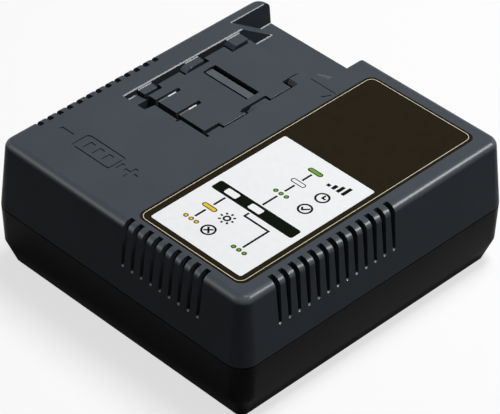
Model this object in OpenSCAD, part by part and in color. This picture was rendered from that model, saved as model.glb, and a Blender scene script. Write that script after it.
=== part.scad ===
// Desk charger for slide-on power tool battery packs.
// Origin: under the middle of the housing, on the plane that the feet stand on. +X runs along the reading
// direction of the face plate, +Y towards the rear wall where the mains cord comes in, +Z up.

/* [Housing] */
// Width of the housing at the parting line
body_w = 165; // [156:1:190]
// Depth of the housing at the parting line
body_d = 173.2; // [166:1:200]
// Height of the lower housing, without its feet
lower_h = 33.4; // [30:0.2:45]
// Height of the upper housing
upper_h = 36.6; // [34:0.2:50]
// Radius of the corners seen from above, at the parting line
corner_r = 9.6; // [9:0.2:12]
// Thickness of the side walls and of the top
wall = 2.5; // [2.2:0.1:2.8]
// Thickness of the base plate
base_t = 3; // [2.6:0.1:4]
// Lean of the upper walls, in degrees
upper_draft = 5.5; // [4:0.1:6]
// Lean of the lower walls, in degrees
lower_draft = 2.4; // [1:0.1:3]
// Radius of the rounded edge round the top
top_fillet = 4.3; // [3:0.1:4.6]
// Height of the sloping band round the base
bevel_h = 12.9; // [8:0.1:15]
// How far the sloping band runs in
bevel_in = 5.2; // [3:0.1:5.6]
// Height of the dark joint line between the halves
reveal = 0.5; // [0.3:0.1:1]
// Height of the tongue that the upper half sits on
tongue_h = 2.2; // [1.5:0.1:3]
// Play round pieces that drop into a seat
clearance = 0.15; // [0.1:0.05:0.25]

/* [Cooling slots] */
// Distance from slot to slot
slot_pitch = 6; // [5:0.1:7]
// Width of a slot on top
slot_top_w = 2.8; // [2:0.1:3.4]
// Width of a slot at its lower end
slot_low_w = 1.85; // [1.4:0.05:2]
// Height of a slot's lower end over the parting line
slot_low_z = 14; // [10:0.5:20]
// Slots in each side wall
side_slots = 13; // [6:1:14]
// Middle of the row in each side wall
side_row_y = -25.8; // [-28:0.1:-10]
// Slots in the front wall
front_slots = 9; // [4:1:10]
// Middle of the row in the front wall
front_row_x = 29.3; // [0:0.1:36]
// How far the slots run in over the flat top
slot_reach = 1.2; // [0:0.1:1.6]

/* [Dock] */
// Middle of the dock
dock_x = -39.8; // [-41:0.1:-38]
// Clear width between the rail walls
dock_w = 49.2; // [46:0.1:50]
// Front end of the drop-in pocket
pocket_front_y = -20.2; // [-24:0.1:-18]
// Front edge of the deck
deck_front_y = -10.2; // [-12:0.1:-9]
// Rear edge of the deck
deck_rear_y = 55.5; // [54:0.1:57]
// Depth of the deck under the top face
deck_drop = 2; // [1.8:0.1:2.4]
// Thickness of the deck
deck_t = 2.2; // [1.8:0.1:2.6]
// Width of the channel between a rail wall and the deck
channel_w = 2.2; // [1.8:0.1:2.6]
// Depth of the channels under the top face
channel_drop = 9; // [7:0.5:11]
// Depth of the drop-in gap under the top face
gap_drop = 11; // [9:0.5:12]
// Width of the drop-in gap in front of the deck, on its left part
gap_w = 4.2; // [3.8:0.1:5]
// How much narrower the gap is on its right part
gap_step = 0.8; // [0.4:0.1:1.2]
// Length of the gap's left part, from the pocket on
gap_left_w = 16.5; // [14:0.5:18]
// Size of the small notch where the gap narrows
gap_notch = 1; // [0.6:0.1:1.4]
// Width of the ledge beside the drop-in pocket
ledge_w = 6; // [5:0.1:7]
// Depth of that ledge under the top face
ledge_drop = 3.7; // [3:0.1:5]
// Width of the drop-in pocket
pocket_w = 8.8; // [8:0.1:10]
// Depth of the rear bay under the top face
bay_drop = 13.7; // [12:0.1:14.5]
// Width of the rear bay between its outer walls
bay_w = 64.3; // [62:0.1:66]
// Where the ramps of the bay leave the top face
ramp_top_y = 57; // [56.5:0.1:60]
// Length of the ramps
ramp_run = 20.5; // [18:0.5:22]
// Thickness of the dock's own walls and floors
tub_t = 2; // [1.8:0.1:2.4]
// Width of the bevel along the rail walls' top edges
rail_edge = 0.5; // [0.3:0.05:0.8]
// Width of the bevel in the corners where the dock's floors and hooks meet its walls
root_edge = 0.45; // [0.3:0.05:0.7]

/* [Rail hooks] */
// Depth of the hooks' upper faces under the top face
hook_drop = 1.3; // [0.8:0.1:1.6]
// Thickness of the hooks
hook_t = 2.7; // [2.2:0.1:3]
// Reach of the front and middle hooks over the deck side
hook_reach = 4.4; // [4:0.1:5]
// Reach of the rear hooks
rear_hook_reach = 6.7; // [6:0.1:7.2]
// Length of a hook
hook_len = 8.4; // [8:0.1:9]
// Middle of the front hooks
front_hook_y = -6.8; // [-7.2:0.1:-6]
// Middle of the middle hooks
middle_hook_y = 23.4; // [22:0.1:25]
// Middle of the rear hooks
rear_hook_y = 50.8; // [50:0.1:51.2]
// Length of the lead-in slope of the middle hooks
hook_lead = 3.2; // [2:0.1:4]
// Length of the steeper slope of the rear hooks
rear_hook_lead = 1.4; // [1:0.1:2]
// Opening left in the deck beside a hook
window_side = 1.4; // [1:0.1:1.8]
// Opening left in the deck before and behind a hook
window_end = 2.2; // [1.6:0.1:2.4]

/* [Contacts and catch] */
// Width of the contact slots in the deck
contact_slot_w = 2.4; // [2.2:0.1:3]
// Distance from contact slot to contact slot
contact_pitch = 13.9; // [12:0.1:16]
// Middle of the contact slots, measured from the dock's middle
contact_x = -5.65; // [-7:0.05:-4]
// Length of the contact slots
contact_slot_l = 14.8; // [14:0.1:17]
// Thickness of a contact blade
blade_t = 0.8; // [0.6:0.1:1]
// Length of a contact blade
blade_l = 4.9; // [4:0.1:6]
// Rear edge of the blades, from the rear end of their slot
blade_back = 3.1; // [2.5:0.1:4]
// Length of the guard rib in front of a blade
guard_l = 6.1; // [5:0.1:6.4]
// Width of the catch window
catch_w = 29.8; // [26:0.1:32]
// Length of the catch window
catch_l = 8.2; // [7.5:0.1:9]
// Middle of the catch window
catch_y = 25.5; // [24:0.1:27]
// Depth of the catch plate under the deck, at its front edge
catch_front_drop = 0.6; // [0.4:0.1:1]
// Depth of the catch plate under the deck, at its rear edge
catch_rear_drop = 1; // [0.8:0.1:1.6]
// Gap in front of the catch plate and at its ends
catch_gap = 0.6; // [0.4:0.1:0.8]
// Gap behind the catch plate, which the pack's latch drops into
catch_rear_gap = 2.8; // [2.2:0.1:3.2]
// Thickness of the catch plate's flange under the deck
catch_t = 1.6; // [1.2:0.1:2]
// How far that flange reaches under the deck at each end
catch_tail = 3; // [2:0.1:4]
// Height of the terminal holder
holder_t = 8; // [7:0.1:9]
// Thickness of the holder's side walls and rear wall
holder_wall = 1.8; // [1.4:0.1:2.2]
// Thickness of the ears that the holder's screws clamp
holder_ear_t = 2.5; // [2:0.1:3]
// Radius of the bosses that the holder is screwed to
boss_r = 2.8; // [2.4:0.1:3.2]
// Radius of the holder screws
holder_screw_r = 0.95; // [0.8:0.05:1.1]

/* [Face plate] */
// Middle of the face plate across the housing
plate_x = 37.3; // [37:0.1:37.5]
// Middle of the face plate along the housing
plate_y = -0.3; // [-1:0.1:0.6]
// Width of the face plate
plate_w = 66.4; // [60:0.1:66.8]
// Length of the face plate
plate_l = 150.6; // [140:0.1:152]
// Radius of its corners
plate_r = 4.4; // [2:0.1:6]
// Thickness of the face plate
plate_t = 0.5; // [0.4:0.05:0.8]
// Depth of its recess
plate_recess = 0.6; // [0.5:0.05:1]
// Width of a status window
window_w = 8; // [6:0.1:9]
// Length of a status window
window_l = 4; // [3:0.1:5]
// Middle of the status windows along the housing
windows_y = -34.1; // [-38:0.1:-30]
// Middle of the left status window
window_left_x = 22.4; // [20:0.1:25]
// Distance between the status windows
window_gap = 15.1; // [12:0.1:17]
// Distance from the light guides to the chips that light them
led_gap = 0.4; // [0.2:0.1:0.8]

/* [Feet and screws] */
// Height of the feet under the base
foot_proud = 1.2; // [0.8:0.1:3]
// Radius of a foot
foot_r = 7; // [5:0.1:8]
// Depth of the foot recesses
foot_seat = 1.4; // [1:0.1:1.6]
// Distance of the feet's middle from the side walls
foot_from_side = 24.5; // [22.5:0.1:30]
// Distance of the feet's middle from the front and rear walls
foot_from_end = 26.6; // [24:0.1:34]
// Distance of the case screws from the walls
post_from_wall = 13.5; // [12.8:0.1:14]
// Radius of the screw posts
post_r = 4.4; // [4:0.1:5]
// Radius of the case screws
screw_r = 1.5; // [1.2:0.1:1.6]
// Radius of the case screws' heads
head_r = 2.8; // [2.4:0.1:3]
// Depth of the screw head holes
head_sink = 12; // [8:0.5:16]
// Length that a case screw bites into the upper post
screw_bite = 10; // [6:0.5:12]

/* [Main board] */
// Width of the board
board_w = 124; // [118:1:126]
// Length of the board
board_l = 132; // [126:1:136]
// Thickness of the board
board_t = 1.6; // [1:0.1:2]
// Height of the board over the base plate
standoff_h = 6; // [5:0.5:9]
// Distance of the board screws from the board's edges
board_margin = 5; // [4:0.5:7]
// Radius of a standoff
standoff_r = 3.6; // [3:0.1:4]
// Radius of the board screws
board_screw_r = 1.2; // [1:0.1:1.4]
// Length of the board screws
board_screw_l = 5.4; // [4:0.1:6]

/* [Transformer] */
// Place of the transformer across the board
transformer_x = 6; // [4:0.5:8]
// Place of the transformer along the board
transformer_y = -6; // [-10:0.5:-2]
// Length of the core, across the winding
core_l = 40; // [36:1:44]
// Height of the core
core_h = 34; // [31:1:37]
// Thickness of the core's crosspieces
core_yoke = 7; // [5.5:0.5:8]
// Depth of the core's legs
core_leg = 13; // [11:0.5:15]
// Width of an outer leg
core_side = 5.5; // [4.5:0.5:5.6]
// Height of the core over the board
core_lift = 4; // [3:0.5:6]
// Radius of the bobbin's flanges
flange_r = 14; // [12.5:0.1:14.2]
// Thickness of the bobbin's walls
bobbin_t = 1.2; // [1:0.1:1.6]
// How much lower than the flanges the winding ends
winding_drop = 0.6; // [0.3:0.1:1]
// Radius of the core's round middle leg
core_post_r = 6.2; // [5:0.1:7]
// Length of the bobbin's pin rails
pin_rail_l = 24; // [20:0.5:28]
// Width of the bobbin's pin rails
pin_rail_w = 7; // [5:0.5:7.5]

/* [Capacitors] */
// Place of the bulk capacitor across the board
bulk_x = 44; // [42:0.5:46]
// Place of the bulk capacitor along the board
bulk_y = 26; // [24:0.5:30]
// Radius of the bulk capacitor
bulk_r = 12.5; // [10:0.5:13.5]
// Height of the bulk capacitor
bulk_h = 31; // [25:1:36]
// Middle of the pair of output capacitors across the board
output_x = -25; // [-28:0.5:-22]
// Place of the output capacitors along the board
output_y = -46; // [-49:0.5:-43]
// Distance between the output capacitors
output_pitch = 18; // [16.5:0.5:20]
// Radius of an output capacitor
output_r = 6.5; // [5:0.5:8]
// Height of an output capacitor
output_h = 25; // [18:1:30]
// Height of the crimped groove over a capacitor's foot
groove_z = 3; // [2:0.1:4]
// Depth of that groove
groove_d = 0.6; // [0.4:0.1:0.8]
// Left end of the film capacitor
film_x = -48; // [-52:0.5:-47]
// Front face of the film capacitor
film_y = 46; // [42:0.5:50]
// Length of the film capacitor
film_l = 26; // [22:0.5:28]
// Depth of the film capacitor
film_d = 11; // [9:0.5:13]
// Height of the film capacitor
film_h = 17; // [14:0.5:20]

/* [Heat sinks] */
// Place of the primary heat sink across the board
primary_x = 44; // [42:0.5:46]
// Place of the primary heat sink along the board
primary_y = -14; // [-16:0.5:-10]
// Place of the output heat sink across the board
output_sink_x = -44.5; // [-46:0.5:-44.5]
// Place of the output heat sink along the board
output_sink_y = -4; // [-8:0.5:0]
// Height of the heat sinks
sink_h = 32; // [29:1:34]
// Thickness of a heat sink plate
sink_t = 2.5; // [2:0.1:3]
// Depth of the heat sink fins
fin_depth = 7; // [5:0.5:9]
// Thickness of a fin
fin_t = 1.2; // [0.8:0.1:1.6]
// Fins on each heat sink
fins = 7; // [5:1:7]
// Distance from fin to fin
fin_pitch = 5.5; // [4.5:0.1:5.8]
// Width of a power device
device_w = 10.4; // [9:0.1:12]
// Thickness of a power device
device_t = 4.6; // [4:0.1:5.4]
// Height of a power device's moulded body
device_body_h = 9; // [8:0.1:10]
// Height of its metal tab over the body's lower edge
device_tab_h = 19; // [18:0.1:20]
// Thickness of its metal tab
device_tab_t = 1.3; // [1:0.1:1.6]
// Height of its body over the board
device_lift = 6; // [4.5:0.1:7]
// Distance between its legs
leg_pitch = 2.54; // [2:0.02:3]
// Width of a leg
leg_w = 0.8; // [0.6:0.1:1]
// Height of the device screws over the board
device_screw_z = 22; // [21:0.1:22.6]
// Radius of the device screws
device_screw_r = 1.4; // [1.2:0.1:1.5]

/* [Line side] */
// Place of the line choke across the board
choke_x = -8; // [-10:0.5:-6]
// Place of the line choke along the board
choke_y = 50; // [47:0.5:53]
// Outer radius of the line choke
choke_r = 11; // [10:0.5:12]
// Radius of the choke's winding section
choke_wire_r = 4; // [3.4:0.1:4.4]
// Thickness of the wire over the choke's core
choke_wire_t = 1.35; // [1.2:0.05:1.4]
// Middle of the fuse across the board
fuse_x = 24; // [22:0.5:26]
// Middle of the fuse along the board
fuse_y = 56; // [53:0.5:58]
// Height of the fuse's axis over the board
fuse_lift = 6; // [5:0.5:7]
// Length of the fuse
fuse_l = 20; // [18:1:22]
// Radius of the fuse's caps
fuse_r = 2.6; // [2.2:0.1:3]
// Length of the fuse's caps
fuse_cap_l = 5; // [4:0.5:6]
// Thickness of the fuse clips
clip_t = 0.6; // [0.4:0.1:0.8]
// Length of a fuse clip
clip_l = 4; // [3:0.5:4.5]
// Place of the mains connector along the board
connector_y = 54; // [51:0.5:57]
// Width of the mains connector
connector_w = 12; // [10:0.5:14]
// Depth of the mains connector
connector_d = 10; // [8:0.5:12]
// Height of the mains connector
connector_h = 9; // [7:0.5:12]
// Thickness of its walls
connector_t = 1.2; // [1:0.1:1.6]

/* [Control side] */
// Middle of the control chip across the board
chip_x = 30; // [28:0.5:34]
// Middle of the control chip along the board
chip_y = -48; // [-52:0.5:-44]
// Width of the control chip
chip_w = 6.4; // [6:0.1:7.6]
// Height of the control chip over the board
chip_lift = 0.6; // [0.4:0.1:1]
// Thickness of the control chip
chip_t = 3.2; // [2.6:0.1:3.6]
// Pins along each side of the chip
chip_pins = 7; // [4:1:10]
// Size of the light chips
led_w = 3.2; // [2.4:0.1:4]
// Height of the light chips
led_h = 1.6; // [1:0.1:2]
// Thickness of the indicator board
indicator_t = 1.2; // [0.8:0.1:1.6]
// Length of the indicator board
indicator_l = 16; // [12:0.5:20]
// How far the indicator board reaches past the windows at each side
indicator_side = 4; // [2:0.5:5]
// Width of the light guides' flanges
guide_flange = 1; // [0.6:0.1:1.4]
// Thickness of the light guides' flanges
guide_flange_t = 1.2; // [0.8:0.1:1.6]
// Width of the ribbon cable
ribbon_w = 10; // [8:0.5:12]
// Thickness of the ribbon cable
ribbon_t = 0.8; // [0.6:0.1:1.2]
// How far the ribbon reaches under the indicator board
ribbon_lap = 4; // [3:0.5:6]
// Radius of an output lead
lead_r = 1.4; // [1:0.1:1.6]
// Length of the blades' tabs under the holder
blade_tab = 4; // [3:0.5:5]

/* [Cord entry] */
// Position of the cord entry across the rear wall
cord_x = 44; // [30:0.5:50]
// Depth of the cord entry under the parting line
cord_drop = 11; // [10:0.1:12]
// Radius of the bore for the mains cord
cord_r = 3.3; // [2.5:0.1:4]
// Radius of the bush where it passes the wall
bush_r = 5.4; // [4.8:0.1:6]
// Radius of the bush's flanges
bush_flange_r = 7.8; // [7:0.1:8.4]
// Thickness of the bush's outer flange
bush_flange_t = 1.4; // [1:0.1:1.5]
// Thickness of the bush's inner flange
bush_inner_t = 2; // [1.5:0.1:2.5]
// Length of the bush's sleeve inside
bush_sleeve = 5; // [3:0.5:8]
// Extra thickness of the rear wall behind the bush
bush_pad = 1.8; // [1.4:0.1:2.4]

/* [Ribs] */
// Thickness of the stiffening ribs under the top
rib_t = 1.6; // [1.2:0.1:2]
// Height of the stiffening ribs under the top
rib_h = 6; // [4:0.5:8]
// Length of the ribs under the face plate
rib_l = 80; // [60:1:90]
// Middle of the front rib under the deck
deck_rib_front_y = 17.6; // [17.2:0.1:18]
// Middle of the rear rib under the deck
deck_rib_rear_y = 38; // [34:0.5:46]

/* [Hidden] */
$fn = 64;

// Heights of the main planes
base_z = foot_proud;
part_z = base_z + lower_h;
top_z = part_z + upper_h;
deck_z = top_z - deck_drop;
board_z = base_z + base_t + standoff_h;
board_top = board_z + board_t;

// Places of the feet, of the case screws and of the board screws, from the middle
foot_x = body_w / 2 - foot_from_side;
foot_y = body_d / 2 - foot_from_end;
post_x = body_w / 2 - post_from_wall;
post_y = body_d / 2 - post_from_wall;
board_hole_x = board_w / 2 - board_margin;
board_hole_y = board_l / 2 - board_margin;

// The rear wall's outer face at the height of the cord entry
rear_wall_y = body_d / 2 - cord_drop * tan(lower_draft);

// Where the flat top ends and the rounded edge begins
top_inset = (upper_h - top_fillet) * tan(upper_draft) + top_fillet / cos(upper_draft);
flat_x = body_w / 2 - top_inset;
flat_y = body_d / 2 - top_inset;

// Edges of the dock
rail_x = dock_w / 2;
pocket_left_x = dock_x - rail_x + ledge_w;
pocket_right_x = pocket_left_x + pocket_w;
gap_split_x = pocket_right_x + gap_left_w;

// Overlap that makes cuts run clean through a face
cut = 1;
// How far an added bevel reaches into what carries it
embed = 0.2;

// ---- Housing ----

// Sections are drawn from the axis of a plan corner: u runs outwards from it and reaches back past it, so
// that the straight walls and the turned corners share the same outline.

// The upper housing's section: a leaning wall with a rounded top edge
module upper_section(radius, height, fillet, reach) {
    centre = [radius - (height - fillet) * tan(upper_draft) - fillet / cos(upper_draft), height - fillet];
    touch = centre + fillet * [cos(upper_draft), sin(upper_draft)];
    polygon([[-reach, 0], [radius, 0], touch, centre, [centre[0], height], [-reach, height]]);
    intersection() {
        translate(centre) circle(fillet);
        polygon([centre, 2 * touch - centre, centre + 3 * fillet * [1, 1], centre + 2 * fillet * [0, 1]]);
    }
}

// Section of the space inside the upper housing: its top edge is bevelled, which keeps the wall even
// behind the rounded edge
module upper_core_section(radius, height, bevel, reach) {
    shoulder = radius - (height - bevel) * tan(upper_draft);
    polygon([[-reach, 0], [radius, 0], [shoulder, height - bevel], [shoulder - bevel, height],
        [-reach, height]]);
}

// The lower housing's section: a leaning wall over a sloping band
module lower_section(radius, height, band_h, reach) {
    crease = radius - (height - band_h) * tan(lower_draft);
    polygon([[-reach, height], [radius, height], [crease, band_h], [crease - bevel_in, 0], [-reach, 0]]);
}

// Half the distances between the axes of the plan corners
axis_x = body_w / 2 - corner_r;
axis_y = body_d / 2 - corner_r;

// A rounded block from two crossing bars and four turned corners. Child 0 is the section across the
// width, child 1 across the depth and child 2 round a corner.
module rounded_block() {
    rotate([90, 0, 0]) linear_extrude(2 * axis_y, center = true)
        for (side = [0, 1]) mirror([side, 0]) translate([axis_x, 0]) children(0);
    rotate([90, 0, 90]) linear_extrude(2 * axis_x, center = true)
        for (side = [0, 1]) mirror([side, 0]) translate([axis_y, 0]) children(1);
    for (side_x = [0, 1], side_y = [0, 1])
        mirror([side_x, 0, 0]) mirror([0, side_y, 0])
            translate([axis_x, axis_y, 0]) rotate_extrude(angle = 90) children(2);
}

// The upper housing's solid form
module upper_form() {
    rounded_block() {
        upper_section(corner_r, upper_h, top_fillet, axis_x + cut);
        upper_section(corner_r, upper_h, top_fillet, axis_y + cut);
        upper_section(corner_r, upper_h, top_fillet, 0);
    }
}

// The space inside the upper housing, open below
module upper_core() {
    radius = corner_r - wall;
    height = upper_h - wall + cut;
    bevel = max(top_fillet - wall, 0.6);
    rounded_block() {
        upper_core_section(radius, height, bevel, axis_x + cut);
        upper_core_section(radius, height, bevel, axis_y + cut);
        upper_core_section(radius, height, bevel, 0);
    }
}

// The lower housing's solid form, or its inner form when inset
module lower_form(inset, height, band_h) {
    rounded_block() {
        lower_section(corner_r - inset, height, band_h, axis_x + cut);
        lower_section(corner_r - inset, height, band_h, axis_y + cut);
        lower_section(corner_r - inset, height, band_h, 0);
    }
}

// A flat plate with rounded corners, standing on z = 0
module rounded_plate(width, length, radius, thickness) {
    translate([-width / 2 + radius, -length / 2, 0]) cube([width - 2 * radius, length, thickness]);
    translate([-width / 2, -length / 2 + radius, 0]) cube([width, length - 2 * radius, thickness]);
    for (side_x = [-1, 1], side_y = [-1, 1])
        translate([side_x * (width / 2 - radius), side_y * (length / 2 - radius), 0])
            cylinder(r = radius, h = thickness);
}

// The plan of the housing's walls, inset, between two heights
module wall_plan(inset, from_z, to_z) {
    translate([0, 0, from_z])
        rounded_plate(body_w - 2 * inset, body_d - 2 * inset, corner_r - inset, to_z - from_z);
}

// A box given by its two opposite corners
module box(low, high) {
    translate(low) cube(high - low);
}

// Copies a child to the four places at a distance from the middle
module at_corners(across, along) {
    for (side_x = [-1, 1], side_y = [-1, 1]) translate([side_x * across, side_y * along, 0]) children();
}

// ---- Dock ----

// A box in the dock: x from the dock's middle, z as depths under the top face
module dock_box(x0, x1, y0, y1, drop, rise = cut) {
    box([dock_x + x0, y0, top_z - drop], [dock_x + x1, y1, top_z + rise]);
}

// Copies a child to both rails
module on_both_rails() {
    translate([dock_x, 0, 0]) children();
    translate([dock_x, 0, 0]) mirror([1, 0, 0]) children();
}

// Section of a bay ramp, y against z, grown downwards and forwards by a skin
module ramp_section(skin) {
    polygon([[ramp_top_y - skin, top_z + cut], [ramp_top_y - skin, top_z - skin / 2],
        [ramp_foot_y - skin / 2, top_z - bay_drop - skin], [body_d, top_z - bay_drop - skin],
        [body_d, top_z + cut]]);
}

// The pieces of housing that carry the dock: what stays solid inside the upper half
module dock_tub() {
    skin = tub_t;
    deck_under = deck_drop + deck_t;
    // deck and its edges
    dock_box(-rail_x - skin, rail_x + skin, pocket_front_y - skin, deck_rear_y, deck_under);
    // gutters under both channels
    for (side = [-1, 1])
        translate([dock_x + side * (rail_x - channel_w / 2), 0, 0])
            box([-channel_w / 2 - skin, deck_front_y - skin, top_z - channel_drop - skin],
                [channel_w / 2 + skin, deck_rear_y + skin, top_z]);
    // drop-in gap and pocket
    dock_box(-rail_x - skin, rail_x + skin, deck_front_y - gap_w - skin, deck_front_y + skin,
        gap_drop + skin);
    box([pocket_left_x - skin, pocket_front_y - skin, top_z - gap_drop - skin],
        [pocket_right_x + skin, deck_front_y + skin, top_z]);
    // ledge
    dock_box(-rail_x - skin, -rail_x + ledge_w + skin, pocket_front_y - skin, deck_front_y,
        ledge_drop + skin);
    // rear bay
    dock_box(-rail_x - skin, rail_x + skin, deck_rear_y - skin, body_d, bay_drop + skin);
    translate([dock_x, 0, 0]) rotate([90, 0, 90])
        linear_extrude(bay_w + 2 * skin, center = true) ramp_section(skin);
}

// Section of the bevel that a wall's top edge loses: the wall stands at x < 0, under z = 0
module edge_section(size) {
    polygon([[-size - cut, cut], [cut, -size - cut], [cut, cut]]);
}

// Section of the bevel that fills a corner between a wall at x = 0 and a floor at z = 0
module root_section(size) {
    polygon([[-embed, -embed], [size + embed, -embed], [-embed, size + embed]]);
}

// Runs a section in x and z along y
module along_y(from_y, to_y) {
    translate([0, to_y, 0]) rotate([90, 0, 0]) linear_extrude(to_y - from_y) children();
}

// Front and rear end of the catch plate
catch_front_y = catch_y - catch_l / 2 + catch_gap;
catch_rear_y = catch_y + catch_l / 2 - catch_rear_gap;

// Foot of the ramps
ramp_foot_y = ramp_top_y + ramp_run;

// The bevels at the feet of the rear bay's walls, on the left rail
module bay_roots() {
    along_y(deck_rear_y - cut, ramp_foot_y) translate([-rail_x, top_z - bay_drop]) root_section(root_edge);
    along_y(ramp_foot_y - cut, body_d) translate([-bay_w / 2, top_z - bay_drop]) root_section(root_edge);
}

// What is hollow in the dock
module dock_hollow() {
    // sunk deck
    dock_box(-rail_x, rail_x, deck_front_y, deck_rear_y + cut, deck_drop);
    // channels and the bevelled edges of their outer walls
    on_both_rails() {
        box([-rail_x, deck_front_y - cut, top_z - channel_drop],
            [-rail_x + channel_w, deck_rear_y, top_z + cut]);
        along_y(deck_front_y - gap_w + gap_step, ramp_top_y + rail_edge)
            translate([-rail_x, top_z]) edge_section(rail_edge);
    }
    // drop-in gap, wider on its left part, with a notch where it narrows, and the pocket at its left end
    box([pocket_left_x, pocket_front_y, top_z - gap_drop], [pocket_right_x, deck_front_y, top_z + cut]);
    box([pocket_right_x - cut, deck_front_y - gap_w, top_z - gap_drop],
        [gap_split_x, deck_front_y, top_z + cut]);
    box([gap_split_x - gap_notch, deck_front_y - gap_w - gap_notch, top_z - deck_drop],
        [gap_split_x, deck_front_y, top_z + cut]);
    box([gap_split_x - cut, deck_front_y - gap_w + gap_step, top_z - gap_drop],
        [dock_x + rail_x, deck_front_y, top_z + cut]);
    // ledge, with a bevel in its corner and on the wall over it
    difference() {
        dock_box(-rail_x, -rail_x + ledge_w + cut, pocket_front_y, deck_front_y, ledge_drop);
        along_y(pocket_front_y - cut, deck_front_y - cut)
            translate([dock_x - rail_x, top_z - ledge_drop]) root_section(root_edge);
    }
    along_y(pocket_front_y, deck_front_y) translate([dock_x - rail_x, top_z]) edge_section(rail_edge);
    // rear bay with its two ramps
    difference() {
        union() {
            dock_box(-rail_x, rail_x, deck_rear_y, body_d, bay_drop);
            translate([dock_x, 0, 0]) rotate([90, 0, 90])
                linear_extrude(bay_w, center = true) ramp_section(0);
        }
        on_both_rails() bay_roots();
    }
    // openings beside the hooks
    on_both_rails() {
        hook_window(front_hook_y, hook_reach, 0);
        hook_window(middle_hook_y, hook_reach, hook_lead);
        hook_window(rear_hook_y, rear_hook_reach, rear_hook_lead);
    }
    // contact slots
    for (side = [-1, 1]) contact_slot(side);
    // catch window
    box([dock_x - catch_w / 2, catch_y - catch_l / 2, deck_z - deck_t - cut],
        [dock_x + catch_w / 2, catch_y + catch_l / 2, deck_z + cut]);
}

// Opening through the deck beside a hook on the left rail
module hook_window(middle_y, reach, lead) {
    rear_y = min(middle_y + hook_len / 2 + window_end, deck_rear_y - tub_t);
    front_y = max(middle_y - hook_len / 2 - lead - window_end, deck_front_y - cut);
    box([-rail_x + channel_w - cut, front_y, top_z - channel_drop],
        [-rail_x + reach + window_side, rear_y, top_z]);
}

// One hook on the left rail, with a slope on its front end and a bevel in the corner at its root
module rail_hook(middle_y, reach, lead) {
    upper = top_z - hook_drop;
    lower = upper - hook_t;
    front_y = middle_y - hook_len / 2;
    rear_y = middle_y + hook_len / 2;
    translate([-rail_x - cut, 0, 0]) rotate([90, 0, 90]) linear_extrude(reach + cut)
        polygon([[front_y - lead, lower], [rear_y, lower], [rear_y, upper], [front_y, upper],
            [front_y - lead, lower + hook_t / 4]]);
    along_y(front_y, rear_y) translate([-rail_x, upper]) root_section(root_edge);
}

// Middle of a contact slot
function contact_slot_x(side) = dock_x + contact_x + side * contact_pitch / 2;

// Slot for one contact, through the deck and the wall of the drop-in gap
module contact_slot(side) {
    box([contact_slot_x(side) - contact_slot_w / 2, deck_front_y - cut, top_z - gap_drop],
        [contact_slot_x(side) + contact_slot_w / 2, deck_front_y + contact_slot_l, deck_z + cut]);
}

// ---- Upper housing ----

// One cooling slot: straight over the top, narrower towards its lower end
module slot_section() {
    low = part_z + slot_low_z;
    shoulder = top_z - top_fillet;
    polygon([[-slot_low_w / 2, low], [slot_low_w / 2, low], [slot_top_w / 2, shoulder],
        [slot_top_w / 2, top_z + cut], [-slot_top_w / 2, top_z + cut], [-slot_top_w / 2, shoulder]]);
}

// All cooling slots in the two side walls and the front wall
module cooling_slots() {
    run = top_inset + slot_reach + cut;
    for (side = [-1, 1], i = [0 : side_slots - 1])
        translate([side * (flat_x - slot_reach + run / 2),
            side_row_y + (i - (side_slots - 1) / 2) * slot_pitch, 0])
            rotate([90, 0, 90]) linear_extrude(run, center = true) slot_section();
    for (i = [0 : front_slots - 1])
        translate([front_row_x + (i - (front_slots - 1) / 2) * slot_pitch,
            -flat_y + slot_reach - run / 2, 0])
            rotate([90, 0, 0]) linear_extrude(run, center = true) slot_section();
}

// Posts of the upper half that the case screws bite into
module upper_posts() {
    at_corners(post_x, post_y)
        translate([0, 0, part_z]) cylinder(r = post_r, h = upper_h);
}

// Stiffening ribs under the deck and under the face plate
module upper_ribs() {
    for (y = [deck_rib_front_y, deck_rib_rear_y])
        box([dock_x - rail_x, y - rib_t / 2, deck_z - deck_t - rib_h],
            [dock_x + rail_x, y + rib_t / 2, deck_z]);
    for (x = [plate_x - plate_w / 4, plate_x + plate_w / 4])
        box([x - rib_t / 2, windows_y + indicator_l, top_z - wall - rib_h],
            [x + rib_t / 2, windows_y + indicator_l + rib_l, top_z]);
}

// Holes for the light guides
module guide_holes() {
    for (i = [0, 1])
        translate([window_left_x + i * window_gap, windows_y, top_z - plate_recess - wall - cut])
            linear_extrude(wall + 2 * cut)
                square([window_w + 2 * clearance, window_l + 2 * clearance], center = true);
}

module top_cover() {
    color("#474e57") {
        difference() {
            translate([0, 0, part_z]) upper_form();
            difference() {
                translate([0, 0, part_z - cut]) upper_core();
                dock_tub();
                upper_posts();
                upper_ribs();
                holder_bosses();
            }
            dock_hollow();
            cooling_slots();
            guide_holes();
            // seat of the face plate
            translate([plate_x, plate_y, top_z - plate_recess])
                rounded_plate(plate_w + 2 * clearance, plate_l + 2 * clearance, plate_r + clearance,
                    plate_recess + cut);
            // rebate over the tongue of the lower half
            difference() {
                wall_plan(wall / 2, part_z - cut, part_z + tongue_h);
                wall_plan(wall + cut, part_z - 2 * cut, part_z + tongue_h + cut);
            }
            // pilot holes
            at_corners(post_x, post_y) translate([0, 0, part_z - cut])
                cylinder(r = screw_r, h = screw_bite + cut);
            holder_pilots();
        }
        on_both_rails() {
            rail_hook(front_hook_y, hook_reach, 0);
            rail_hook(middle_hook_y, hook_reach, hook_lead);
            rail_hook(rear_hook_y, rear_hook_reach, rear_hook_lead);
        }
    }
}

// ---- Lower housing ----

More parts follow.
